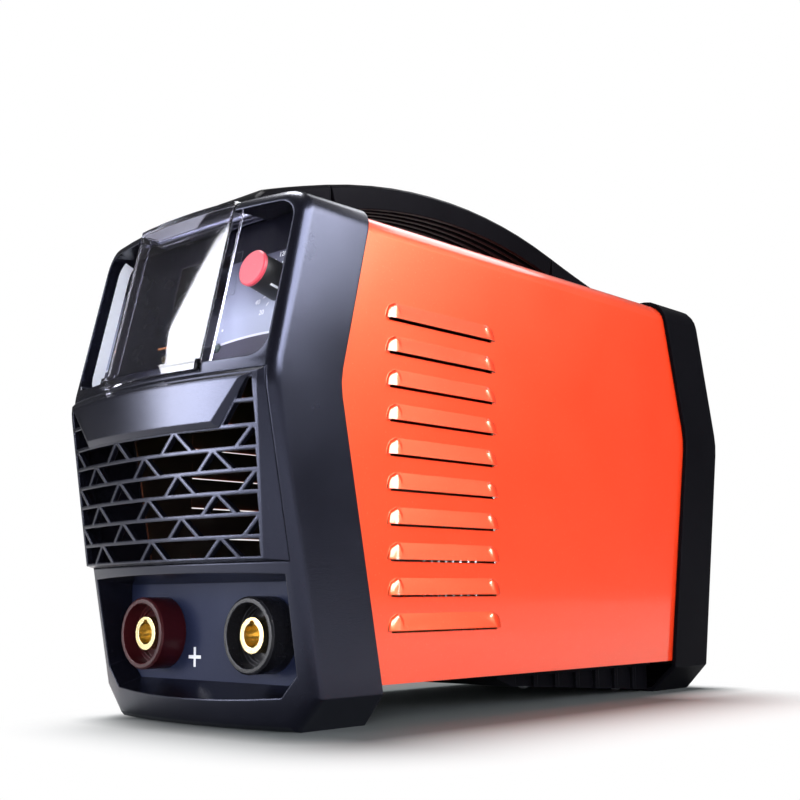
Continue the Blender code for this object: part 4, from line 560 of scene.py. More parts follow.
@dataclass(frozen=True)
class CircuitBoard(Finish):
    """Solder mask over copper tracks.

    Attributes:
        track: the colour over the tracks.
    """

    track: Colour = (0.05, 0.26, 0.11)

    def base(self, shader: Shader, fleck: Socket) -> Socket:
        """Mixes mask and tracks.

        Args:
            shader: the material's tree.
            fleck: the grain's high spots.

        Returns:
            The colour's socket.
        """
        sockets = {"Vector": shader.place(), "Scale": 60.0, "Mortar Size": 0.03}
        tracks = shader.add("TexBrick", sockets).outputs["Fac"]
        return shader.blend(tracks, super().base(shader, fleck), (*self.track, 1.0))


class Look:
    """The finishes of this object's pieces, by the names that a maker would use."""

    # Its lavender-grey edge colour is partly rubbed wear and partly a painted highlight along the bezel's rims.
    MOULDING = Finish(
        "black_moulding_finish", "black_moulding", (0.0030, 0.0030, 0.0052), (0.0044, 0.0044, 0.0074),
        (0.050, 0.053, 0.080), 0.25, 0.03, grain=1500.0, relief=0.00002, edge=0.0012, wear=0.28,
        sheen=(0.64, 0.69, 1.0),
    )
    # Painted shade: the rear bezel, skid and handle share the front bezel's black moulding, with their reflections
    # cut to almost nothing so that they stay darker.
    SHADED_REAR_MOULDING = Finish(
        "rear_moulding_shaded", "black_moulding", (0.0030, 0.0029, 0.0040), (0.0045, 0.0044, 0.0060),
        (0.035, 0.035, 0.045), 0.42, 0.06, grain=1500.0, relief=0.00004, edge=0.0012, wear=0.20,
        specular=0.02, sheen=(0.86, 0.87, 1.0),
    )
    SHADED_GRIP = Finish(
        "grip_shaded", "black_moulding", (0.0030, 0.0028, 0.0038), (0.0045, 0.0042, 0.0056),
        (0.035, 0.035, 0.045), 0.36, 0.06, grain=1700.0, relief=0.00004, edge=0.0010, wear=0.20,
        specular=0.02, sheen=(0.86, 0.87, 1.0),
    )
    PAINT = PaintedSheet(
        "cover_paint_finish", "cover_paint", (0.93, 0.040, 0.007), (0.91, 0.036, 0.006),
        (0.98, 0.20, 0.10), 0.34, 0.015, grain=650.0, relief=0.000012, edge=0.0008, wear=0.45, coat=0.8,
        specular=0.9, sheen=(1.0, 0.74, 0.30),
    )
    FILM = PrintedFilm(
        "panel_film", "panel_print", (0.20, 0.20, 0.25), (0.070, 0.070, 0.105),
        (0.72, 0.73, 0.84), 0.30, 0.05, grain=2400.0, relief=0.00001, edge=0.0005, wear=0.3,
        specular=0.04,
    )
    # Painted light: the film's turned edges are far paler than its field, partly the film's own pale print and
    # partly painted light for the bright reflection along the window's sides.
    LIT_FILM_EDGE = Finish(
        "panel_film_edge", "panel_print", (0.90, 0.93, 1.0), (0.86, 0.90, 0.98),
        (0.82, 0.84, 0.96), 0.32, 0.05, grain=2400.0, relief=0.00001, edge=0.0001, wear=0.2,
    )
    SLATE = Finish(
        "recess_slate_finish", "recess_slate", (0.016, 0.021, 0.050), (0.013, 0.017, 0.041),
        (0.10, 0.11, 0.18), 0.42, 0.06, grain=1500.0, relief=0.00003, edge=0.0006, wear=0.3,
        specular=0.10, sheen=(0.78, 0.82, 1.0),
    )
    VISOR = ClearPlastic(
        "visor_plastic", "clear_plastic", (0.80, 0.80, 0.88), (0.74, 0.74, 0.84),
        (0.9, 0.9, 1.0), 0.04, 0.06, relief=0.00001, edge=0.0003,
    )
    SMOKED = ClearPlastic(
        "smoked_window", "smoked_plastic", (0.10, 0.05, 0.06), (0.08, 0.04, 0.05),
        (0.3, 0.3, 0.3), 0.05, 0.10, relief=0.00001, edge=0.0006,
    )
    GREEN_LENS = Finish(
        "frosted_green_lens", "green_lens", (0.13, 0.17, 0.17), (0.11, 0.15, 0.15),
        (0.30, 0.38, 0.36), 0.30, 0.06, grain=2400.0, relief=0.00001, edge=0.0004, wear=0.2,
    )
    AMBER_LENS = ClearPlastic(
        "amber_lens_plastic", "amber_lens", (0.62, 0.36, 0.10), (0.52, 0.30, 0.08),
        (1.0, 0.8, 0.4), 0.12, 0.08, relief=0.00001, edge=0.0004,
    )
    RED_CAP = Finish(
        "knob_cap_red", "red_plastic", (0.68, 0.055, 0.090), (0.62, 0.046, 0.075),
        (0.90, 0.30, 0.36), 0.36, 0.05, grain=2200.0, relief=0.00001, edge=0.0008, wear=0.4,
    )
    KNOB = Finish(
        "knob_black_finish", "knob_black", (0.010, 0.010, 0.011), (0.016, 0.016, 0.017),
        (0.09, 0.09, 0.09), 0.45, 0.06, grain=2400.0, relief=0.00002, edge=0.0006, wear=0.4,
    )
    MAROON = Finish(
        "positive_collar_finish", "maroon_plastic", (0.034, 0.004, 0.006), (0.026, 0.003, 0.005),
        (0.26, 0.05, 0.06), 0.30, 0.06, grain=1800.0, relief=0.00001, edge=0.0008, wear=0.5, specular=0.3,
    )
    COLLAR = Finish(
        "negative_collar_finish", "socket_black", (0.006, 0.006, 0.008), (0.010, 0.010, 0.012),
        (0.12, 0.12, 0.15), 0.28, 0.06, grain=1800.0, relief=0.00001, edge=0.0008, wear=0.5, specular=0.25,
    )
    FAN = Finish(
        "fan_plastic", "fan_black", (0.010, 0.010, 0.011), (0.016, 0.016, 0.018),
        (0.08, 0.08, 0.09), 0.42, 0.08, grain=1500.0, relief=0.00003, edge=0.0006, wear=0.3,
    )
    BRASS = TurnedMetal(
        "turned_brass", "brass", (0.80, 0.66, 0.34), (0.66, 0.52, 0.24),
        (1.0, 0.90, 0.60), 0.22, 0.07, 1.0, grain=1200.0, relief=0.00001, edge=0.0005, wear=0.7,
    )
    COPPER = Finish(
        "rolled_copper", "copper", (0.80, 0.36, 0.20), (0.62, 0.26, 0.14),
        (0.95, 0.55, 0.38), 0.34, 0.10, 1.0, grain=700.0, relief=0.00001, edge=0.0005, wear=0.5,
    )
    STEEL = TurnedMetal(
        "plated_steel", "steel", (0.60, 0.61, 0.64), (0.48, 0.49, 0.52),
        (0.85, 0.86, 0.88), 0.30, 0.09, 1.0, grain=900.0, relief=0.00001, edge=0.0005, wear=0.6, rings=500.0,
    )
    SHEET = Finish(
        "black_painted_sheet", "dark_sheet", (0.020, 0.020, 0.023), (0.030, 0.030, 0.034),
        (0.20, 0.20, 0.21), 0.48, 0.08, grain=800.0, relief=0.00003, edge=0.0006, wear=0.4,
    )
    ALUMINIUM = TurnedMetal(
        "extruded_aluminium", "aluminium", (0.72, 0.73, 0.75), (0.60, 0.61, 0.63),
        (0.9, 0.9, 0.92), 0.38, 0.08, 1.0, grain=900.0, relief=0.00002, wear=0.4, ring_axis="X", rings=260.0,
    )
    BOARD = CircuitBoard(
        "solder_mask", "circuit_board", (0.016, 0.11, 0.045), (0.012, 0.085, 0.035),
        (0.35, 0.36, 0.20), 0.36, 0.08, grain=500.0, relief=0.00003, wear=0.4,
    )
    FERRITE = Finish(
        "sintered_ferrite", "ferrite", (0.045, 0.045, 0.050), (0.065, 0.063, 0.065),
        (0.14, 0.14, 0.14), 0.66, 0.10, grain=700.0, relief=0.00006, wear=0.5,
    )
    WINDING = TurnedMetal(
        "enamelled_wire", "winding", (0.42, 0.20, 0.045), (0.30, 0.13, 0.03),
        (0.62, 0.36, 0.12), 0.30, 0.08, 0.6, grain=900.0, relief=0.00008, wear=0.4, ring_axis="Z", rings=320.0,
    )
    SLEEVE = Finish(
        "capacitor_sleeve", "component_black", (0.015, 0.016, 0.028), (0.022, 0.022, 0.034),
        (0.16, 0.16, 0.19), 0.30, 0.08, grain=900.0, relief=0.00002, wear=0.4,
    )
    WHITE_PRINT = Finish(
        "white_print", "panel_print", (0.84, 0.85, 0.90), (0.76, 0.77, 0.82),
        (0.95, 0.95, 0.97), 0.45, 0.06, grain=2600.0, relief=0.00001, edge=0.0001, wear=0.1,
    )
    ORANGE_PRINT = Finish(
        "orange_print", "panel_print", (0.90, 0.30, 0.05), (0.80, 0.24, 0.04),
        (0.95, 0.45, 0.15), 0.45, 0.06, grain=2600.0, relief=0.00001, edge=0.0001, wear=0.1,
    )
    SEGMENT = Finish(
        "unlit_segment", "panel_print", (0.30, 0.055, 0.05), (0.24, 0.04, 0.04),
        (0.45, 0.12, 0.10), 0.35, 0.06, grain=2600.0, relief=0.00001, edge=0.0001, wear=0.1,
    )


NODE_LOOKS: dict[str, Finish] = {
    "base_skid": Look.SHADED_REAR_MOULDING,
    "base_tray": Look.STEEL,
    "bridge_rectifier": Look.SLEEVE,
    "cable_gland": Look.FAN,
    "capacitor_1": Look.SLEEVE,
    "capacitor_2": Look.SLEEVE,
    "capacitor_3": Look.SLEEVE,
    "control_board": Look.BOARD,
    "control_panel": Look.FILM,
    "cover": Look.PAINT,
    "current_knob": Look.KNOB,
    "display_module": Look.SLEEVE,
    "display_window": Look.SMOKED,
    "earth_nut": Look.STEEL,
    "earth_stud": Look.STEEL,
    "fan_frame": Look.FAN,
    "fan_guard": Look.STEEL,
    "fan_rotor": Look.FAN,
    "fault_lamp": Look.AMBER_LENS,
    "front_bezel": Look.MOULDING,
    "front_grille": Look.MOULDING,
    "gland_cap": Look.FAN,
    "gland_lock_nut": Look.FAN,
    "handle_grip": Look.SHADED_GRIP,
    "handle_root_front": Look.SHADED_GRIP,
    "handle_root_rear": Look.SHADED_GRIP,
    "heat_sink_left": Look.ALUMINIUM,
    "heat_sink_right": Look.ALUMINIUM,
    "knob_cap": Look.RED_CAP,
    "main_board": Look.BOARD,
    "negative_busbar": Look.COPPER,
    "negative_socket_collar": Look.COLLAR,
    "negative_socket_contact": Look.BRASS,
    "negative_socket_nut": Look.BRASS,
    "output_choke": Look.WINDING,
    "positive_busbar": Look.COPPER,
    "positive_socket_collar": Look.MAROON,
    "positive_socket_contact": Look.BRASS,
    "positive_socket_nut": Look.BRASS,
    "potentiometer": Look.STEEL,
    "potentiometer_shaft": Look.STEEL,
    "power_lamp": Look.GREEN_LENS,
    "rear_bezel": Look.SHADED_REAR_MOULDING,
    "rear_panel": Look.SHEET,
    "socket_plate": Look.SLATE,
    "switch_housing": Look.FAN,
    "switch_rocker": Look.KNOB,
    "transformer_core": Look.FERRITE,
    "transformer_winding": Look.WINDING,
    "visor": Look.VISOR,
    "visor_hinge_pin": Look.STEEL,
}


@dataclass
class Frame:
    """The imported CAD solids: their finishes and how their curves are shaded.

    Attributes:
        merge: points nearer than this are joined for shading.
        crease: edges that turn further than this stay sharp, in degrees.
        cut: the same for the air grille, whose faces are all flat or crowned.
        domed: the same for the cover, whose pressed louvres have domed ends.
        wall: how far the cover's flat walls are from the middle. Edges that lie on them stay sharp.
        touch: how near to a wall an edge has to be for that.
        flat: edges that turn less than this are never sharp, in degrees.
    """

    merge: float = 0.00001
    crease: float = 24.0
    cut: float = 12.0
    domed: float = 42.0
    wall: float = 0.0907
    touch: float = 0.00005
    flat: float = 3.0

    def soften_tree(self, name: str, crease: float, walled: bool) -> bpy.types.NodeTree:
        """Makes geometry nodes that join loose triangles and smooth the shallow edges between them.

        Args:
            name: the name of the node group.
            crease: the angle over which an edge stays sharp, in degrees.
            walled: whether every edge on the flat walls stays sharp too.

        Returns:
            The node group.
        """
        tree = bpy.data.node_groups.new(name, "GeometryNodeTree")
        tree.interface.new_socket("Geometry", in_out="INPUT", socket_type="NodeSocketGeometry")
        tree.interface.new_socket("Geometry", in_out="OUTPUT", socket_type="NodeSocketGeometry")
        steps = [
            tree.nodes.new(kind)
            for kind in (
                "NodeGroupInput",
                "GeometryNodeRemoveAttribute",
                "GeometryNodeMergeByDistance",
                "GeometryNodeSetShadeSmooth",
                "GeometryNodeSetShadeSmooth",
                "NodeGroupOutput",
            )
        ]
        for before, after in zip(steps, steps[1:]):
            tree.links.new(before.outputs[0], after.inputs[0])
        steps[1].inputs["Name"].default_value = "custom_normal"
        steps[2].inputs["Distance"].default_value = self.merge
        steps[4].domain = "EDGE"
        steps[4].inputs["Shade Smooth"].default_value = False
        shader = Shader(tree)
        angle = tree.nodes.new("GeometryNodeInputMeshEdgeAngle").outputs["Unsigned Angle"]
        sharp = shader.maths("GREATER_THAN", angle, math.radians(crease))
        if walled:
            axes = shader.add("SeparateXYZ", {"Vector": tree.nodes.new("GeometryNodeInputPosition").outputs[0]})
            across = shader.maths("ABSOLUTE", axes.outputs["X"])
            near = shader.maths("COMPARE", across, self.wall)
            near.node.inputs[2].default_value = self.touch
            bent = shader.maths("GREATER_THAN", angle, math.radians(self.flat))
            sharp = shader.maths("MAXIMUM", sharp, shader.maths("MULTIPLY", near, bent))
        tree.links.new(sharp, steps[4].inputs["Selection"])
        return tree

    def dress(self) -> None:
        """Gives every CAD node its finish and its shading."""
        plain = self.soften_tree("soften", self.crease, False)
        special = {
            "cover": self.soften_tree("soften_louvres", self.domed, True),
            "front_grille": self.soften_tree("soften_grille", self.cut, False),
        }
        for name, finish in NODE_LOOKS.items():
            node = frame["nodes"][name]
            node.data.materials.clear()
            node.data.materials.append(finish.material())
            node.modifiers.new("soften", "NODES").node_group = special.get(name, plain)
            even = node.modifiers.new("even_faces", "WEIGHTED_NORMAL")
            even.mode = "FACE_AREA"
            even.weight = 80
            even.keep_sharp = True
            LOG.info("%s is %s", name, finish.name)


@lru_cache(maxsize=None)
def tree_of(node: str) -> BVHTree:
    """Returns a search tree over a CAD node's faces.

    Args:
        node: the node's name.

    Returns:
        The tree.
    """
    mesh = frame["nodes"][node].data
    return BVHTree.FromPolygons([v.co for v in mesh.vertices], [tuple(p.vertices) for p in mesh.polygons])


def seat(node: str, point: Vector, facing: Vector, up: Vector = UP) -> Matrix:
    """Finds the place on a CAD node's face under a point.

    Args:
        node: the node that carries the piece.
        point: a point on the line to search along.
        facing: the direction that the face looks in, roughly.
        up: the direction that becomes the piece's Y axis.

    Returns:
        A frame on the face, with Z out of it.
    """
    start = point + facing * 0.5
    hit, normal, _, _ = tree_of(node).ray_cast(start, -facing)
    if hit is None:
        raise ValueError(f"no face of {node} under {tuple(point)}")
    side = up.cross(normal).normalized()
    upright = normal.cross(side)
    turn = Matrix((side, upright, normal)).transposed().to_4x4()
    return Matrix.Translation(hit) @ turn


def add_piece(name: str, mesh: bmesh.types.BMesh, finish: Finish, body: Body) -> bpy.types.Object:
    """Makes an object of a finished mesh and lets it ride on a body.

    Args:
        name: the piece's name.
        mesh: its shape, in place. It is freed.
        finish: its finish.
        body: what it moves with.

    Returns:
        The new object.
    """
    data = bpy.data.meshes.new(name)
    mesh.to_mesh(data)
    mesh.free()
    piece = bpy.data.objects.new(name, data)
    bpy.context.scene.collection.objects.link(piece)
    data.materials.append(finish.material())
    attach(piece, body.value)
    LOG.info("%s: %d faces", name, len(data.polygons))
    return piece


def plate(mesh: bmesh.types.BMesh, size: tuple[float, float, float], place: Matrix, edge: float = 0.0) -> None:
    """Adds a thin plate whose back lies on a face.

    Args:
        mesh: what it is added to.
        size: its width, height and thickness.
        place: the frame at the middle of its back.
        edge: the chamfer round its edges.
    """
    made = bmesh.ops.create_grid(mesh, x_segments=1, y_segments=1, size=0.5)
    bmesh.ops.scale(mesh, vec=(size[0], size[1], 1.0), verts=made["verts"])
    base = list({face for vert in made["verts"] for face in vert.link_faces})
    lifted = bmesh.ops.extrude_face_region(mesh, geom=base, use_keep_orig=True)["geom"]
    top = [part for part in lifted if isinstance(part, bmesh.types.BMVert)]
    bmesh.ops.translate(mesh, vec=(0.0, 0.0, size[2]), verts=top)
    verts = made["verts"] + top
    bmesh.ops.recalc_face_normals(mesh, faces=list({face for vert in verts for face in vert.link_faces}))
    if edge:
        edges = [e for e in {e for v in top for e in v.link_edges} if all(v in top for v in e.verts)]
        made = bmesh.ops.bevel(
            mesh, geom=edges, offset=edge, affect="EDGES", segments=1, profile=0.5, material=-1
        )
        verts = list({v for v in verts if v.is_valid} | set(made["verts"]))
    bmesh.ops.transform(mesh, matrix=place, verts=verts)


def words_mesh(words: str, size: float, depth: float) -> bmesh.types.BMesh:
    """Makes raised lettering, centred on the origin.

    Args:
        words: what it says.
        size: the height of its line.
        depth: how far it stands out.

    Returns:
        Its mesh.
    """
    curve = bpy.data.curves.new("words", "FONT")
    curve.body = words
    curve.size = size
    curve.extrude = depth / 2
    curve.resolution_u = 3
    curve.align_x = "CENTER"
    curve.align_y = "CENTER"
    drawn = bpy.data.objects.new("words", curve)
    bpy.context.scene.collection.objects.link(drawn)
    bpy.context.view_layer.update()
    flat = bpy.data.meshes.new_from_object(drawn.evaluated_get(bpy.context.evaluated_depsgraph_get()))
    mesh = bmesh.new()
    mesh.from_mesh(flat)
    bmesh.ops.remove_doubles(mesh, verts=mesh.verts[:], dist=0.000001)
    bmesh.ops.translate(mesh, vec=(0.0, 0.0, depth / 2), verts=mesh.verts[:])
    bpy.data.objects.remove(drawn)
    bpy.data.curves.remove(curve)
    bpy.data.meshes.remove(flat)
    return mesh


def put(target: bmesh.types.BMesh, source: bmesh.types.BMesh, place: Matrix) -> None:
    """Adds one mesh to another, in place.

    Args:
        target: what is added to.
        source: what is added. It is freed.
        place: where it goes.
    """
    source.transform(place)
    held = bpy.data.meshes.new("held")
    source.to_mesh(held)
    source.free()
    target.from_mesh(held)
    bpy.data.meshes.remove(held)


@dataclass
class DialPrint:
    """The printed scale round the current knob.

    Attributes:
        centre: the knob's axis on the panel, as X and Z.
        tick_inner: where the ticks start.
        tick_outer: where they end.
        numeral_radius: how far out the numerals stand.
        first: the angle of the first tick, anticlockwise from the right, in degrees.
        step: the angle between numbered ticks.
        numerals: what the numbered ticks say.
        size: the height of the numerals.
        depth: the thickness of the ink.
    """

    centre: tuple[float, float] = (0.0695, 0.239)
    tick_inner: float = 0.0122
    tick_outer: float = 0.0146
    numeral_radius: float = 0.0192
    first: float = 229.5
    step: float = 25.5
    numerals: tuple[str, ...] = ("20", "40", "60", "80", "100", "120", "140")
    size: float = 0.0042
    depth: float = 0.00012

    def spot(self, angle: float, radius: float) -> Matrix:
        """Returns the frame on the panel at an angle and radius from the knob's axis."""
        turn = math.radians(angle)
        point = Vector((self.centre[0] + radius * math.cos(turn), 0.0, self.centre[1] + radius * math.sin(turn)))
        return seat("control_panel", point, FRONT)

    def build(self) -> None:
        """Builds the ticks and the numerals."""
        ticks = bmesh.new()
        numbers = bmesh.new()
        for index, words in enumerate(self.numerals):
            angle = self.first - index * self.step
            middle = (self.tick_inner + self.tick_outer) / 2
            place = self.spot(angle, middle) @ Matrix.Rotation(math.radians(angle), 4, "Z")
            plate(ticks, (self.tick_outer - self.tick_inner, 0.0005, self.depth), place)
            put(numbers, words_mesh(words, self.size, self.depth), self.spot(angle, self.numeral_radius))
        add_piece("dial_ticks", ticks, Look.WHITE_PRINT, Body.CASE)
        add_piece("dial_numerals", numbers, Look.WHITE_PRINT, Body.CASE)


@dataclass
class PanelPrint:
    """Small printed marks on the control panel, and where its film laps the display or turns up the window's sides.

    Attributes:
        rule: the orange rule's place, as X and Z.
        rule_size: its length, width and thickness.
        lap: how far across the film laps the display window's right end, from where to where.
        rim: how far it goes past the window's upper and lower edges.
        chamfer: how far the edges of rule and lap slope.
        dots: the places of the white dots.
        dot_radius: their radius.
        foot: a point on the panel's face, as Y and Z.
        stations: the heights at which the turned edges are measured against the window's sides.
        reach: how far from the panel the turned edges start and end.
        thickness: how thick the film is there.
    """

    rule: tuple[float, float] = (-0.022, 0.216)
    rule_size: tuple[float, float, float] = (0.022, 0.0011, 0.00012)
    lap: tuple[float, float] = (0.0199, 0.0284)
    rim: float = 0.0004
    chamfer: float = 0.00005
    dots: tuple[tuple[float, float], ...] = ((0.025, 0.219), (0.0835, 0.2155))
    dot_radius: float = 0.0008
    foot: tuple[float, float] = (-0.19724, 0.24)
    stations: tuple[float, ...] = (0.197, 0.199, 0.201, 0.203, 0.205, 0.238, 0.271, 0.273, 0.275, 0.277, 0.279)
    reach: tuple[float, float] = (0.0003, 0.0078)
    thickness: float = 0.0003

    def build(self) -> None:
        """Builds the rule, the dots, the lap and the turned edges."""
        rule = bmesh.new()
        place = seat("control_panel", Vector((self.rule[0], 0.0, self.rule[1])), FRONT)
        plate(rule, self.rule_size, place, self.chamfer)
        add_piece("panel_rule", rule, Look.ORANGE_PRINT, Body.CASE)
        dots = bmesh.new()
        for x, z in self.dots:
            place = seat("control_panel", Vector((x, 0.0, z)), FRONT)
            made = bmesh.ops.create_circle(dots, cap_ends=True, radius=self.dot_radius, segments=16)
            disc = list({face for vert in made["verts"] for face in vert.link_faces})
            lifted = bmesh.ops.extrude_face_region(dots, geom=disc, use_keep_orig=True)["geom"]
            top = [part for part in lifted if isinstance(part, bmesh.types.BMVert)]
            bmesh.ops.translate(dots, vec=(0.0, 0.0, self.rule_size[2]), verts=top)
            bmesh.ops.transform(dots, matrix=place, verts=made["verts"] + top)
        bmesh.ops.recalc_face_normals(dots, faces=dots.faces[:])
        add_piece("panel_dots", dots, Look.WHITE_PRINT, Body.CASE)
        self.build_lap()
        self.build_edges()

    def build_lap(self) -> None:
        """Builds the strip of film that covers the display window's right end."""
        low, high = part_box("display_window")
        start, end = self.lap
        height = (high.z - low.z + 2 * self.rim) * math.hypot(1.0, PANEL_SLOPE)
        place = seat("display_window", Vector(((start + end) / 2, 0.0, (low.z + high.z) / 2)), FRONT)
        lap = bmesh.new()
        plate(lap, (end - start, height, self.rule_size[2]), place, self.chamfer)
        add_piece("panel_film_lap", lap, Look.FILM, Body.CASE)

    def build_edges(self) -> None:
        """Builds the film's turned edges as two ribbons that follow the window's sides into its corners."""
        outward = Vector((0.0, -1.0, PANEL_SLOPE)).normalized()
        edges = bmesh.new()
        for side in (-1.0, 1.0):
            across = RIGHT * side
            rings = []
            for height in self.stations:
                face = Vector((side * CASE_HALF / 2, self.foot[0] + (height - self.foot[1]) * PANEL_SLOPE, height))
                wall = [tree_of("front_bezel").ray_cast(face + outward * away, across)[0] for away in self.reach]
                inner = [point - across * self.thickness for point in reversed(wall)]
                rings.append([edges.verts.new(point) for point in wall + inner])
            for ring, following in zip(rings, rings[1:]):
                for index in range(4):
                    after = (index + 1) % 4
                    edges.faces.new((ring[index], ring[after], following[after], following[index]))
            edges.faces.new(rings[0])
            edges.faces.new(rings[-1])
        bmesh.ops.recalc_face_normals(edges, faces=edges.faces[:])
        # These edges take the paler film colour, which paints in light reflected along the window's sides.
        add_piece("panel_film_edges", edges, Look.LIT_FILM_EDGE, Body.CASE)


@dataclass
class SocketMark:
    """The plus sign beside the positive socket.

    Attributes:
        centre: its place on the recess floor, as X and Z.
        span: its width and height.
        arm: the width of its arms.
        depth: the thickness of the ink.
    """

    centre: tuple[float, float] = (-0.0190, 0.0360)
    span: float = 0.0112
    arm: float = 0.0019
    depth: float = 0.00015

    def build(self) -> None:
        """Builds the sign as one plate with four arms."""
        mesh = bmesh.new()
        made = bmesh.ops.create_grid(mesh, x_segments=3, y_segments=3, size=0.5)
        steps = (-self.span / 2, -self.arm / 2, self.arm / 2, self.span / 2)
        for vert in made["verts"]:
            vert.co.x = steps[round((vert.co.x + 0.5) * 3)]
            vert.co.y = steps[round((vert.co.y + 0.5) * 3)]
        inner = self.arm / 2
        corners = [
            face
            for face in mesh.faces
            if min(abs(face.calc_center_median().x), abs(face.calc_center_median().y)) > inner
        ]
        bmesh.ops.delete(mesh, geom=corners, context="FACES")
        lifted = bmesh.ops.extrude_face_region(mesh, geom=mesh.faces[:], use_keep_orig=True)["geom"]
        top = [part for part in lifted if isinstance(part, bmesh.types.BMVert)]
        bmesh.ops.translate(mesh, vec=(0.0, 0.0, self.depth), verts=top)
        bmesh.ops.recalc_face_normals(mesh, faces=mesh.faces[:])
        mesh.transform(seat("socket_plate", Vector((self.centre[0], 0.0, self.centre[1])), FRONT))
        add_piece("plus_mark", mesh, Look.WHITE_PRINT, Body.CASE)


@dataclass
class KnobInlay:
    """The white pointer let into the side of the current knob.

    Attributes:
        axis_foot: where the knob's axis meets the panel.
        clockwise: the pointer's angle from the top, in degrees.
        start: how far its lower end is from the panel.
        length: its length along the knob.
        width: its width.
        depth: its thickness.
    """

    axis_foot: Vector = field(default_factory=lambda: Vector((0.0695, -0.19748, 0.239)))
    clockwise: float = 135.0
    start: float = 0.0065
    length: float = 0.0062
    width: float = 0.0013
    depth: float = 0.0004

    def build(self) -> None:
        """Builds the inlay on the floor of the knob's groove."""
        axis = Vector((0.0, -1.0, PANEL_SLOPE)).normalized()
        upright = Vector((0.0, PANEL_SLOPE, 1.0)).normalized()
        turn = math.radians(self.clockwise)
        outward = Vector((1, 0, 0)) * math.sin(turn) + upright * math.cos(turn)
        middle = self.axis_foot + axis * (self.start + self.length / 2)
        mesh = bmesh.new()
        plate(mesh, (self.width, self.length, self.depth), seat("current_knob", middle, outward, axis), 0.0002)
        add_piece("knob_pointer", mesh, Look.WHITE_PRINT, Body.KNOB)


@dataclass
class Digits:
    """The unlit seven-segment digits behind the display window.

    Attributes:
        count: how many digits there are.
        pitch: the distance between them.
        height: their height.
        width: their width.
        bar: the width of a segment.
        slant: how far the tops lean over, as a share of the height.
        depth: the thickness of a segment.
    """

    count: int = 3
    pitch: float = 0.0145
    height: float = 0.0150
    width: float = 0.0082
    bar: float = 0.0016
    slant: float = 0.10
    depth: float = 0.0002

    def segment(self, mesh: bmesh.types.BMesh, middle: Vector, length: float, upright: bool) -> None:
        """Adds one six-sided segment.

        Args:
            mesh: what it is added to.
            middle: its centre.
            length: its length from tip to tip.
            upright: whether it stands.
        """
        made = bmesh.ops.create_circle(mesh, cap_ends=True, radius=self.bar / math.sqrt(3), segments=6)
        stretch = (length - self.bar) / 2
        for vert in made["verts"]:
            vert.co = Vector((vert.co.y, vert.co.x, 0.0))
            vert.co.x += math.copysign(stretch, vert.co.x)
        if upright:
            bmesh.ops.rotate(mesh, verts=made["verts"], matrix=Matrix.Rotation(math.pi / 2, 3, "Z"))
        bmesh.ops.translate(mesh, vec=middle, verts=made["verts"])

    def build(self) -> None:
        """Builds the digits on the front of the display module."""
        mesh = bmesh.new()
        half, side, reach = self.height / 2, self.width / 2, self.height / 2 - 0.0006
        for index in range(self.count):
            centre = Vector(((index - (self.count - 1) / 2) * self.pitch, 0.0, 0.0))
            for level in (-half, 0.0, half):
                self.segment(mesh, centre + Vector((0.0, level, 0.0)), self.width - 0.0006, False)
            for x in (-side, side):
                for level in (-half / 2, half / 2):
                    self.segment(mesh, centre + Vector((x, level, 0.0)), reach, True)
        for vert in mesh.verts:
            vert.co.x += self.slant * vert.co.y
        lifted = bmesh.ops.extrude_face_region(mesh, geom=mesh.faces[:], use_keep_orig=True)["geom"]
        top = [part for part in lifted if isinstance(part, bmesh.types.BMVert)]
        bmesh.ops.translate(mesh, vec=(0.0, 0.0, self.depth), verts=top)
        bmesh.ops.recalc_face_normals(mesh, faces=mesh.faces[:])
        low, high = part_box("display_module")
        mesh.transform(seat("display_module", Vector((0.0, 0.0, (low.z + high.z) / 2)), FRONT))
        add_piece("display_digits", mesh, Look.SEGMENT, Body.CASE)


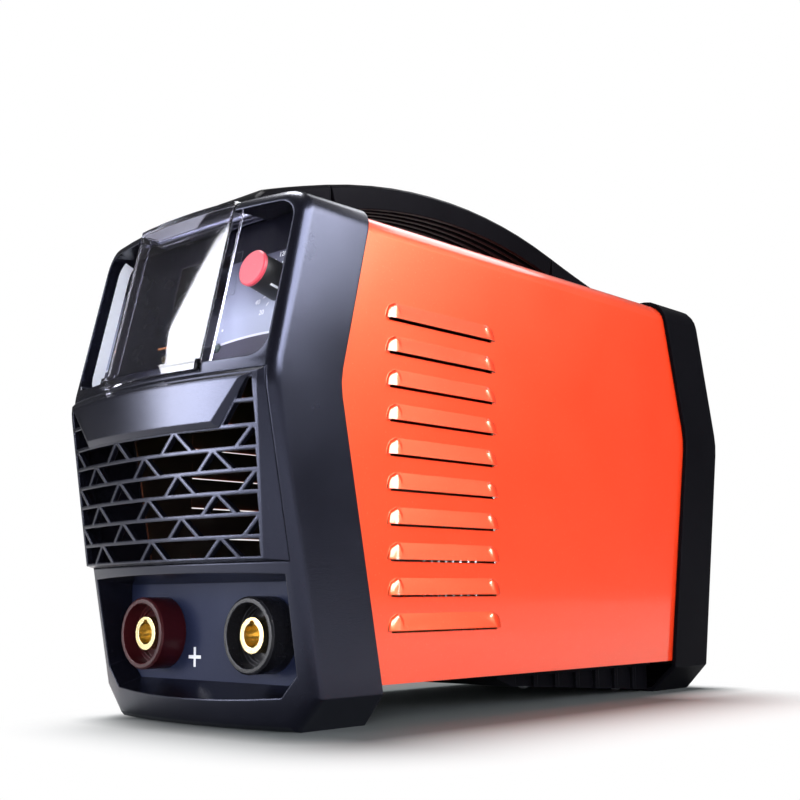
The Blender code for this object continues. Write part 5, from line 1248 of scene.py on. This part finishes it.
@dataclass
class Screws:
    """Pan-head screws with a cross recess.

    Attributes:
        radius: the head's radius.
        rise: the head's height.
        skirt: the height of its straight side.
        slot: half the width of the recess.
        reach: how far the recess goes out, as a share of the radius.
        sink: the depth of the recess.
    """

    radius: float = 0.0032
    rise: float = 0.0017
    skirt: float = 0.0007
    slot: float = 0.14
    reach: float = 0.62
    sink: float = 0.0011

    def head(self) -> bmesh.types.BMesh:
        """Returns one head, with its seat on the origin."""
        mesh = bmesh.new()
        lines = (-1.0, -self.reach, -self.slot, self.slot, self.reach, 1.0)
        made = bmesh.ops.create_grid(mesh, x_segments=5, y_segments=5, size=0.5)
        for vert in made["verts"]:
            vert.co.x = lines[round((vert.co.x + 0.5) * 5)]
            vert.co.y = lines[round((vert.co.y + 0.5) * 5)]
        centres = {face: face.calc_center_median() for face in mesh.faces}
        recess = [
            face
            for face, middle in centres.items()
            if min(abs(middle.x), abs(middle.y)) < self.slot and max(abs(middle.x), abs(middle.y)) < self.reach
        ]
        for vert in mesh.verts:
            x, y = vert.co.x, vert.co.y
            round_x, round_y = x * math.sqrt(1 - y * y / 2), y * math.sqrt(1 - x * x / 2)
            dome = 1.0 - (round_x * round_x + round_y * round_y)
            height = self.skirt + (self.rise - self.skirt) * dome
            vert.co = Vector((round_x * self.radius, round_y * self.radius, height))
        sunk = bmesh.ops.extrude_face_region(mesh, geom=recess)["geom"]
        floor = [part for part in sunk if isinstance(part, bmesh.types.BMVert)]
        bmesh.ops.translate(mesh, vec=(0.0, 0.0, -self.sink), verts=floor)
        bmesh.ops.delete(mesh, geom=[face for face in recess if face.is_valid], context="FACES")
        rim = [edge for edge in mesh.edges if edge.is_boundary]
        skirt = bmesh.ops.extrude_edge_only(mesh, edges=rim)["geom"]
        foot = [part for part in skirt if isinstance(part, bmesh.types.BMVert)]
        for vert in foot:
            vert.co.z = 0.0
        bmesh.ops.contextual_create(mesh, geom=[e for e in mesh.edges if e.is_boundary])
        bmesh.ops.recalc_face_normals(mesh, faces=mesh.faces[:])
        return mesh

    def drive(self, name: str, places: list[Matrix], finish: Finish) -> None:
        """Drives one screw at each place, each turned a little further than the last.

        Args:
            name: the piece's name.
            places: where the heads sit.
            finish: their finish.
        """
        mesh = bmesh.new()
        for index, place in enumerate(places):
            put(mesh, self.head(), place @ Matrix.Rotation(math.radians(37.0 * index), 4, "Z"))
        add_piece(name, mesh, finish, Body.CASE)


@dataclass
class RearFittings:
    """Fasteners and marks on the rear panel, its switch and under the skid.

    Attributes:
        panel_screws: the places of the panel's screws, as X and Z.
        fan_hole: half the spacing of the fan's screws.
        fan_height: the height of the fan's axis.
        skid_screws: the places of the skid's screws, as X and Y.
        mark_depth: the thickness of the printed marks.
    """

    panel_screws: tuple[tuple[float, float], ...] = (
        (-0.071, 0.262), (0.071, 0.262), (-0.071, 0.190), (0.071, 0.190), (-0.071, 0.034),
    )
    fan_hole: float = 0.0525
    fan_height: float = 0.108
    skid_screws: tuple[tuple[float, float], ...] = ((-0.055, 0.03), (0.055, 0.03), (-0.055, 0.14), (0.055, 0.14))
    mark_depth: float = 0.00012

    def build(self) -> None:
        """Builds the screws, the switch's marks and the earth sign."""
        screws = Screws()
        places = [seat("rear_panel", Vector((x, 0.0, z)), REAR) for x, z in self.panel_screws]
        screws.drive("rear_panel_screws", places, Look.STEEL)
        holes = [
            seat("rear_panel", Vector((x, 0.0, self.fan_height + z)), REAR)
            for x in (-self.fan_hole, self.fan_hole)
            for z in (-self.fan_hole, self.fan_hole)
        ]
        screws.drive("fan_screws", holes, Look.STEEL)
        feet = [seat("base_skid", Vector((x, y, 0.0)), BELOW, REAR) for x, y in self.skid_screws]
        screws.drive("skid_screws", feet, Look.STEEL)
        self.build_switch_marks()
        self.build_earth_sign()

    def build_switch_marks(self) -> None:
        """Builds the bar and the ring on the two halves of the rocker."""
        low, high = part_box("switch_rocker")
        middle = (low + high) / 2
        offset = (high.z - low.z) / 4
        marks = bmesh.new()
        bar = seat("switch_rocker", middle + UP * offset, REAR)
        plate(marks, (0.0011, 0.0058, self.mark_depth), bar)
        ring = seat("switch_rocker", middle - UP * offset, REAR)
        outer = bmesh.new()
        made = bmesh.ops.create_circle(outer, cap_ends=True, radius=0.0030, segments=28)
        disc = list({face for vert in made["verts"] for face in vert.link_faces})
        bmesh.ops.inset_region(outer, faces=disc, thickness=0.0009, use_boundary=True, use_even_offset=True)
        bmesh.ops.delete(outer, geom=disc, context="FACES")
        lifted = bmesh.ops.extrude_face_region(outer, geom=outer.faces[:], use_keep_orig=True)["geom"]
        top = [part for part in lifted if isinstance(part, bmesh.types.BMVert)]
        bmesh.ops.translate(outer, vec=(0.0, 0.0, self.mark_depth), verts=top)
        bmesh.ops.recalc_face_normals(outer, faces=outer.faces[:])
        put(marks, outer, ring)
        add_piece("rocker_marks", marks, Look.WHITE_PRINT, Body.ROCKER)

    def build_earth_sign(self) -> None:
        """Builds the earth sign above the earth stud: a stem over three bars."""
        low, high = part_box("earth_stud")
        top = Vector(((low.x + high.x) / 2, 0.0, high.z + 0.006))
        sign = bmesh.new()
        plate(sign, (0.0007, 0.0034, self.mark_depth), seat("rear_panel", top + UP * 0.0027, REAR))
        for index, width in enumerate((0.0064, 0.0042, 0.0020)):
            plate(sign, (width, 0.0007, self.mark_depth), seat("rear_panel", top - UP * 0.0013 * index, REAR))
        add_piece("earth_sign", sign, Look.WHITE_PRINT, Body.CASE)


@dataclass
class Studio:
    """Floor, backdrop, lamps and camera.

    Attributes:
        camera_place: where the camera stands.
        azimuth: how far it is turned from facing the front, in degrees.
        pitch: how far it looks up.
        roll: how far it is tipped.
        lens: its focal length in millimetres, on a 36 mm sensor.
        floor_size: the floor's side.
        floor_colour: the floor's colour.
        shaded: painted shadow, the darker floor colour next to the object, where little light gets to it; its
            slight cyan offsets the red light that the cover throws on the floor.
        shade: two corners of the floor that gets the least light, to the right of the object, which is painted in
            the shadow colour.
        footprint: two corners of what the object stands on, round which the floor is painted darker as shadow.
        far_side: two corners of the floor along its left, which shows under it and is painted darker as shadow.
        clear: how far from the shade the floor is as white as the backdrop.
        contact: the same from the footprint and the far side.
        sky: the world's strength for soft light.
        mirrored: its strength in reflections.
        floor_mirrored: the same for the white part of the floor.
        cool: the colour of the soft boxes.
    """

    camera_place: Vector = field(default_factory=lambda: Vector((0.557, -0.6293, 0.069)))
    azimuth: float = 42.8
    pitch: float = 9.2
    roll: float = -0.54
    lens: float = 54.77
    floor_size: float = 24.0
    floor_colour: Colour = (0.88, 0.88, 0.88)
    shaded: Colour = (0.20, 0.22, 0.22)
    shade: tuple[Vector, Vector] = (Vector((0.0, -0.19)), Vector((0.125, 0.10)))
    footprint: tuple[Vector, Vector] = (Vector((-0.060, -0.195)), Vector((0.090, 0.200)))
    far_side: tuple[Vector, Vector] = (Vector((-0.125, -0.050)), Vector((-0.060, 0.200)))
    clear: float = 0.13
    contact: float = 0.04
    sky: float = 0.06
    mirrored: float = 0.07
    floor_mirrored: float = 0.12
    cool: Colour = (0.94, 0.95, 1.0)

    def build(self) -> None:
        """Builds the whole studio."""
        self.build_camera()
        self.build_floor()
        self.build_world()
        self.build_lamps()
        bpy.context.scene.view_settings.view_transform = "Standard"

    def build_camera(self) -> None:
        """Sets the camera at the photograph's viewpoint."""
        turn, tilt, tip = (math.radians(a) for a in (self.azimuth, self.pitch, self.roll))
        ahead = Vector((-math.sin(turn) * math.cos(tilt), math.cos(turn) * math.cos(tilt), math.sin(tilt)))
        right = Vector((math.cos(turn), math.sin(turn), 0.0))
        above = right.cross(ahead)
        side = right * math.cos(tip) + above * math.sin(tip)
        upright = above * math.cos(tip) - right * math.sin(tip)
        camera = bpy.data.objects.new("camera", bpy.data.cameras.new("camera"))
        camera.data.lens = self.lens
        camera.data.clip_start = 0.01
        camera.matrix_world = Matrix.Translation(self.camera_place) @ Matrix(
            (side, upright, -ahead)
        ).transposed().to_4x4()
        bpy.context.scene.collection.objects.link(camera)
        bpy.context.scene.camera = camera

    def build_floor(self) -> None:
        """Lays a pale floor that keeps the object's shadow, with painted shadow added to its colour next to the
        object.
        """
        mesh = bmesh.new()
        bmesh.ops.create_grid(mesh, x_segments=1, y_segments=1, size=self.floor_size / 2)
        data = bpy.data.meshes.new("floor")
        mesh.to_mesh(data)
        mesh.free()
        floor = bpy.data.objects.new("floor", data)
        bpy.context.scene.collection.objects.link(floor)
        data.materials.append(self.floor_material())

    def floor_material(self) -> bpy.types.Material:
        """Returns a pale floor that takes the shadow, is painted darker next to the object as shadow, and turns
        into the white backdrop further out.
        """
        material = bpy.data.materials.new("studio_floor")
        material.use_nodes = True
        shader = Shader(material.node_tree)
        surface = material.node_tree.nodes["Principled BSDF"]
        surface.inputs["Roughness"].default_value = 0.9
        surface.inputs["Specular IOR Level"].default_value = 0.1
        cloud = shader.group(Effect.CLOUD, {"Scale": 1.5}).outputs["Value"]
        pale = shader.blend(cloud, (*self.floor_colour, 1.0), (*(c * 0.99 for c in self.floor_colour), 1.0))
        beyond_shade = shader.spread(self.distance(shader, self.shade), 0.0, self.clear)
        beyond_foot = shader.spread(self.distance(shader, self.footprint), 0.0, self.contact)
        beyond_far = shader.spread(self.distance(shader, self.far_side), 0.0, self.contact)
        open_floor = shader.maths("MULTIPLY", beyond_shade, shader.maths("MULTIPLY", beyond_foot, beyond_far))
        # Painted shadow: near the object the floor's colour darkens towards a dark, slightly cyan grey.
        shader.feed(surface.inputs["Base Color"], shader.blend(open_floor, (*self.shaded, 1.0), pale))
        share = shader.maths("MULTIPLY", open_floor, self.seen(shader, self.floor_mirrored))
        backdrop = shader.add("Emission", {"Color": (1.0, 1.0, 1.0, 1.0), "Strength": 1.0})
        mixed = shader.add("MixShader", {"Fac": share})
        shader.feed(mixed.inputs[1], surface.outputs["BSDF"])
        shader.feed(mixed.inputs[2], backdrop.outputs["Emission"])
        shader.feed(material.node_tree.nodes["Material Output"].inputs["Surface"], mixed.outputs["Shader"])
        return material

    def distance(self, shader: Shader, corners: tuple[Vector, Vector]) -> Socket:
        """Measures how far a point of the floor is from a rectangle.

        Args:
            shader: the floor's tree.
            corners: the rectangle's lowest and highest corner.

        Returns:
            The distance, which is 0 inside the rectangle.
        """
        axes = shader.add("SeparateXYZ", {"Vector": shader.place()}).outputs
        squares = []
        for axis, low, high in zip("XY", *corners):
            off = shader.maths("ABSOLUTE", shader.maths("SUBTRACT", axes[axis], (low + high) / 2))
            beyond = shader.maths("MAXIMUM", shader.maths("SUBTRACT", off, (high - low) / 2), 0.0)
            squares.append(shader.maths("MULTIPLY", beyond, beyond))
        return shader.maths("SQRT", shader.maths("ADD", *squares))

    def seen(self, shader: Shader, mirrored: float) -> Socket:
        """Works out how brightly the backdrop is seen.

        Args:
            shader: the tree that asks.
            mirrored: how bright it is in a mirror.

        Returns:
            1 where it is seen straight on or through glass, less in a mirror and 0 for soft light.
        """
        rays = shader.add("LightPath").outputs
        bounces = shader.maths("ADD", rays["Glossy Depth"], rays["Diffuse Depth"], clamp=True)
        through = shader.maths("MULTIPLY", rays["Is Transmission Ray"], shader.maths("SUBTRACT", 1.0, bounces))
        direct = shader.maths("MAXIMUM", rays["Is Camera Ray"], through)
        return shader.maths("MAXIMUM", direct, shader.maths("MULTIPLY", rays["Is Glossy Ray"], mirrored))

    def build_world(self) -> None:
        """Makes the backdrop white to the eye, softer in reflections and softer still as a light."""
        world = bpy.data.worlds.new("studio")
        bpy.context.scene.world = world
        world.use_nodes = True
        shader = Shader(world.node_tree)
        background = world.node_tree.nodes["Background"]
        level = shader.maths("MAXIMUM", self.seen(shader, self.mirrored), self.sky)
        shader.feed(background.inputs["Strength"], level)
        background.inputs["Color"].default_value = (1.0, 1.0, 1.0, 1.0)

    def lamp(self, name: str, role: Role, place: Vector, aim: Vector, size: tuple[float, float], level: float,
             roll: float = 0.0) -> None:
        """Hangs one soft box.

        Args:
            name: the lamp's name.
            role: whether it fills the shadows or shows in glossy surfaces.
            place: where it hangs.
            aim: what it points at.
            size: its width and height.
            level: how bright its face is.
            roll: how far it is turned about its own axis, in degrees.
        """
        light = bpy.data.lights.new(name, "AREA")
        light.shape = "RECTANGLE"
        light.size, light.size_y = size
        light.energy = 4.0 * level * size[0] * size[1]
        light.color = self.cool
        box = bpy.data.objects.new(name, light)
        turn = (aim - place).to_track_quat("-Z", "Y").to_matrix().to_4x4()
        box.matrix_world = Matrix.Translation(place) @ turn @ Matrix.Rotation(math.radians(roll), 4, "Z")
        box.visible_camera = False
        box.visible_diffuse = role is Role.FILL
        box.visible_glossy = role is Role.SHINE
        bpy.context.scene.collection.objects.link(box)

    def build_lamps(self) -> None:
        """Hangs a soft lamp overhead, three that fill the shadows and five that show in glossy surfaces."""
        sun = bpy.data.lights.new("overhead", "SUN")
        sun.energy = 3.0
        sun.angle = math.radians(25.0)
        sky = bpy.data.objects.new("overhead", sun)
        sky.matrix_world = Vector((0.40, -0.15, -1.0)).to_track_quat("-Z", "Y").to_matrix().to_4x4()
        bpy.context.scene.collection.objects.link(sky)
        middle = Vector((0.0, -0.05, 0.15))
        self.lamp("right_fill", Role.FILL, Vector((1.60, 0.44, 0.30)), middle, (1.0, 0.5), 6.5)
        self.lamp("front_fill", Role.FILL, Vector((-0.69, -1.69, 0.40)), middle, (1.0, 0.6), 6.0)
        self.lamp("camera_fill", Role.FILL, Vector((1.12, -1.22, 0.40)), middle, (1.0, 0.7), 7.0)
        visor_box = Vector((-0.785, -1.289, 0.998))
        away = Vector((-0.62, -0.66, 0.30))
        self.lamp("visor_box", Role.SHINE, visor_box, visor_box - away, (0.8, 0.6), 10.0, 42.8)
        apron_box = Vector((-0.870, -1.560, 0.185))
        self.lamp("apron_box", Role.SHINE, apron_box, Vector((0.03, -0.24, 0.17)), (0.74, 0.36), 20.0)
        side = Vector((0.093, -0.15, 0.2))
        self.lamp("side_box", Role.SHINE, Vector((1.2665, 0.4224, 0.9386)), side, (0.95, 0.66), 17.0)
        self.lamp("corner_box", Role.SHINE, Vector((1.38, -0.370, 0.9386)), side, (0.75, 0.66), 16.0)
        fold = Vector((0.088, -0.05, 0.28))
        self.lamp("fold_box", Role.SHINE, Vector((-0.08, 1.03, 1.30)), fold, (1.2, 0.3), 3.0)


def main() -> None:
    """Dresses the frame, builds the pieces and sets the studio up."""
    logging.basicConfig(level=logging.INFO, format="%(message)s")
    Studio().build()
    Frame().dress()
    for piece in (DialPrint(), PanelPrint(), SocketMark(), KnobInlay(), Digits(), RearFittings()):
        piece.build()


if __name__ == "__main__":
    main()
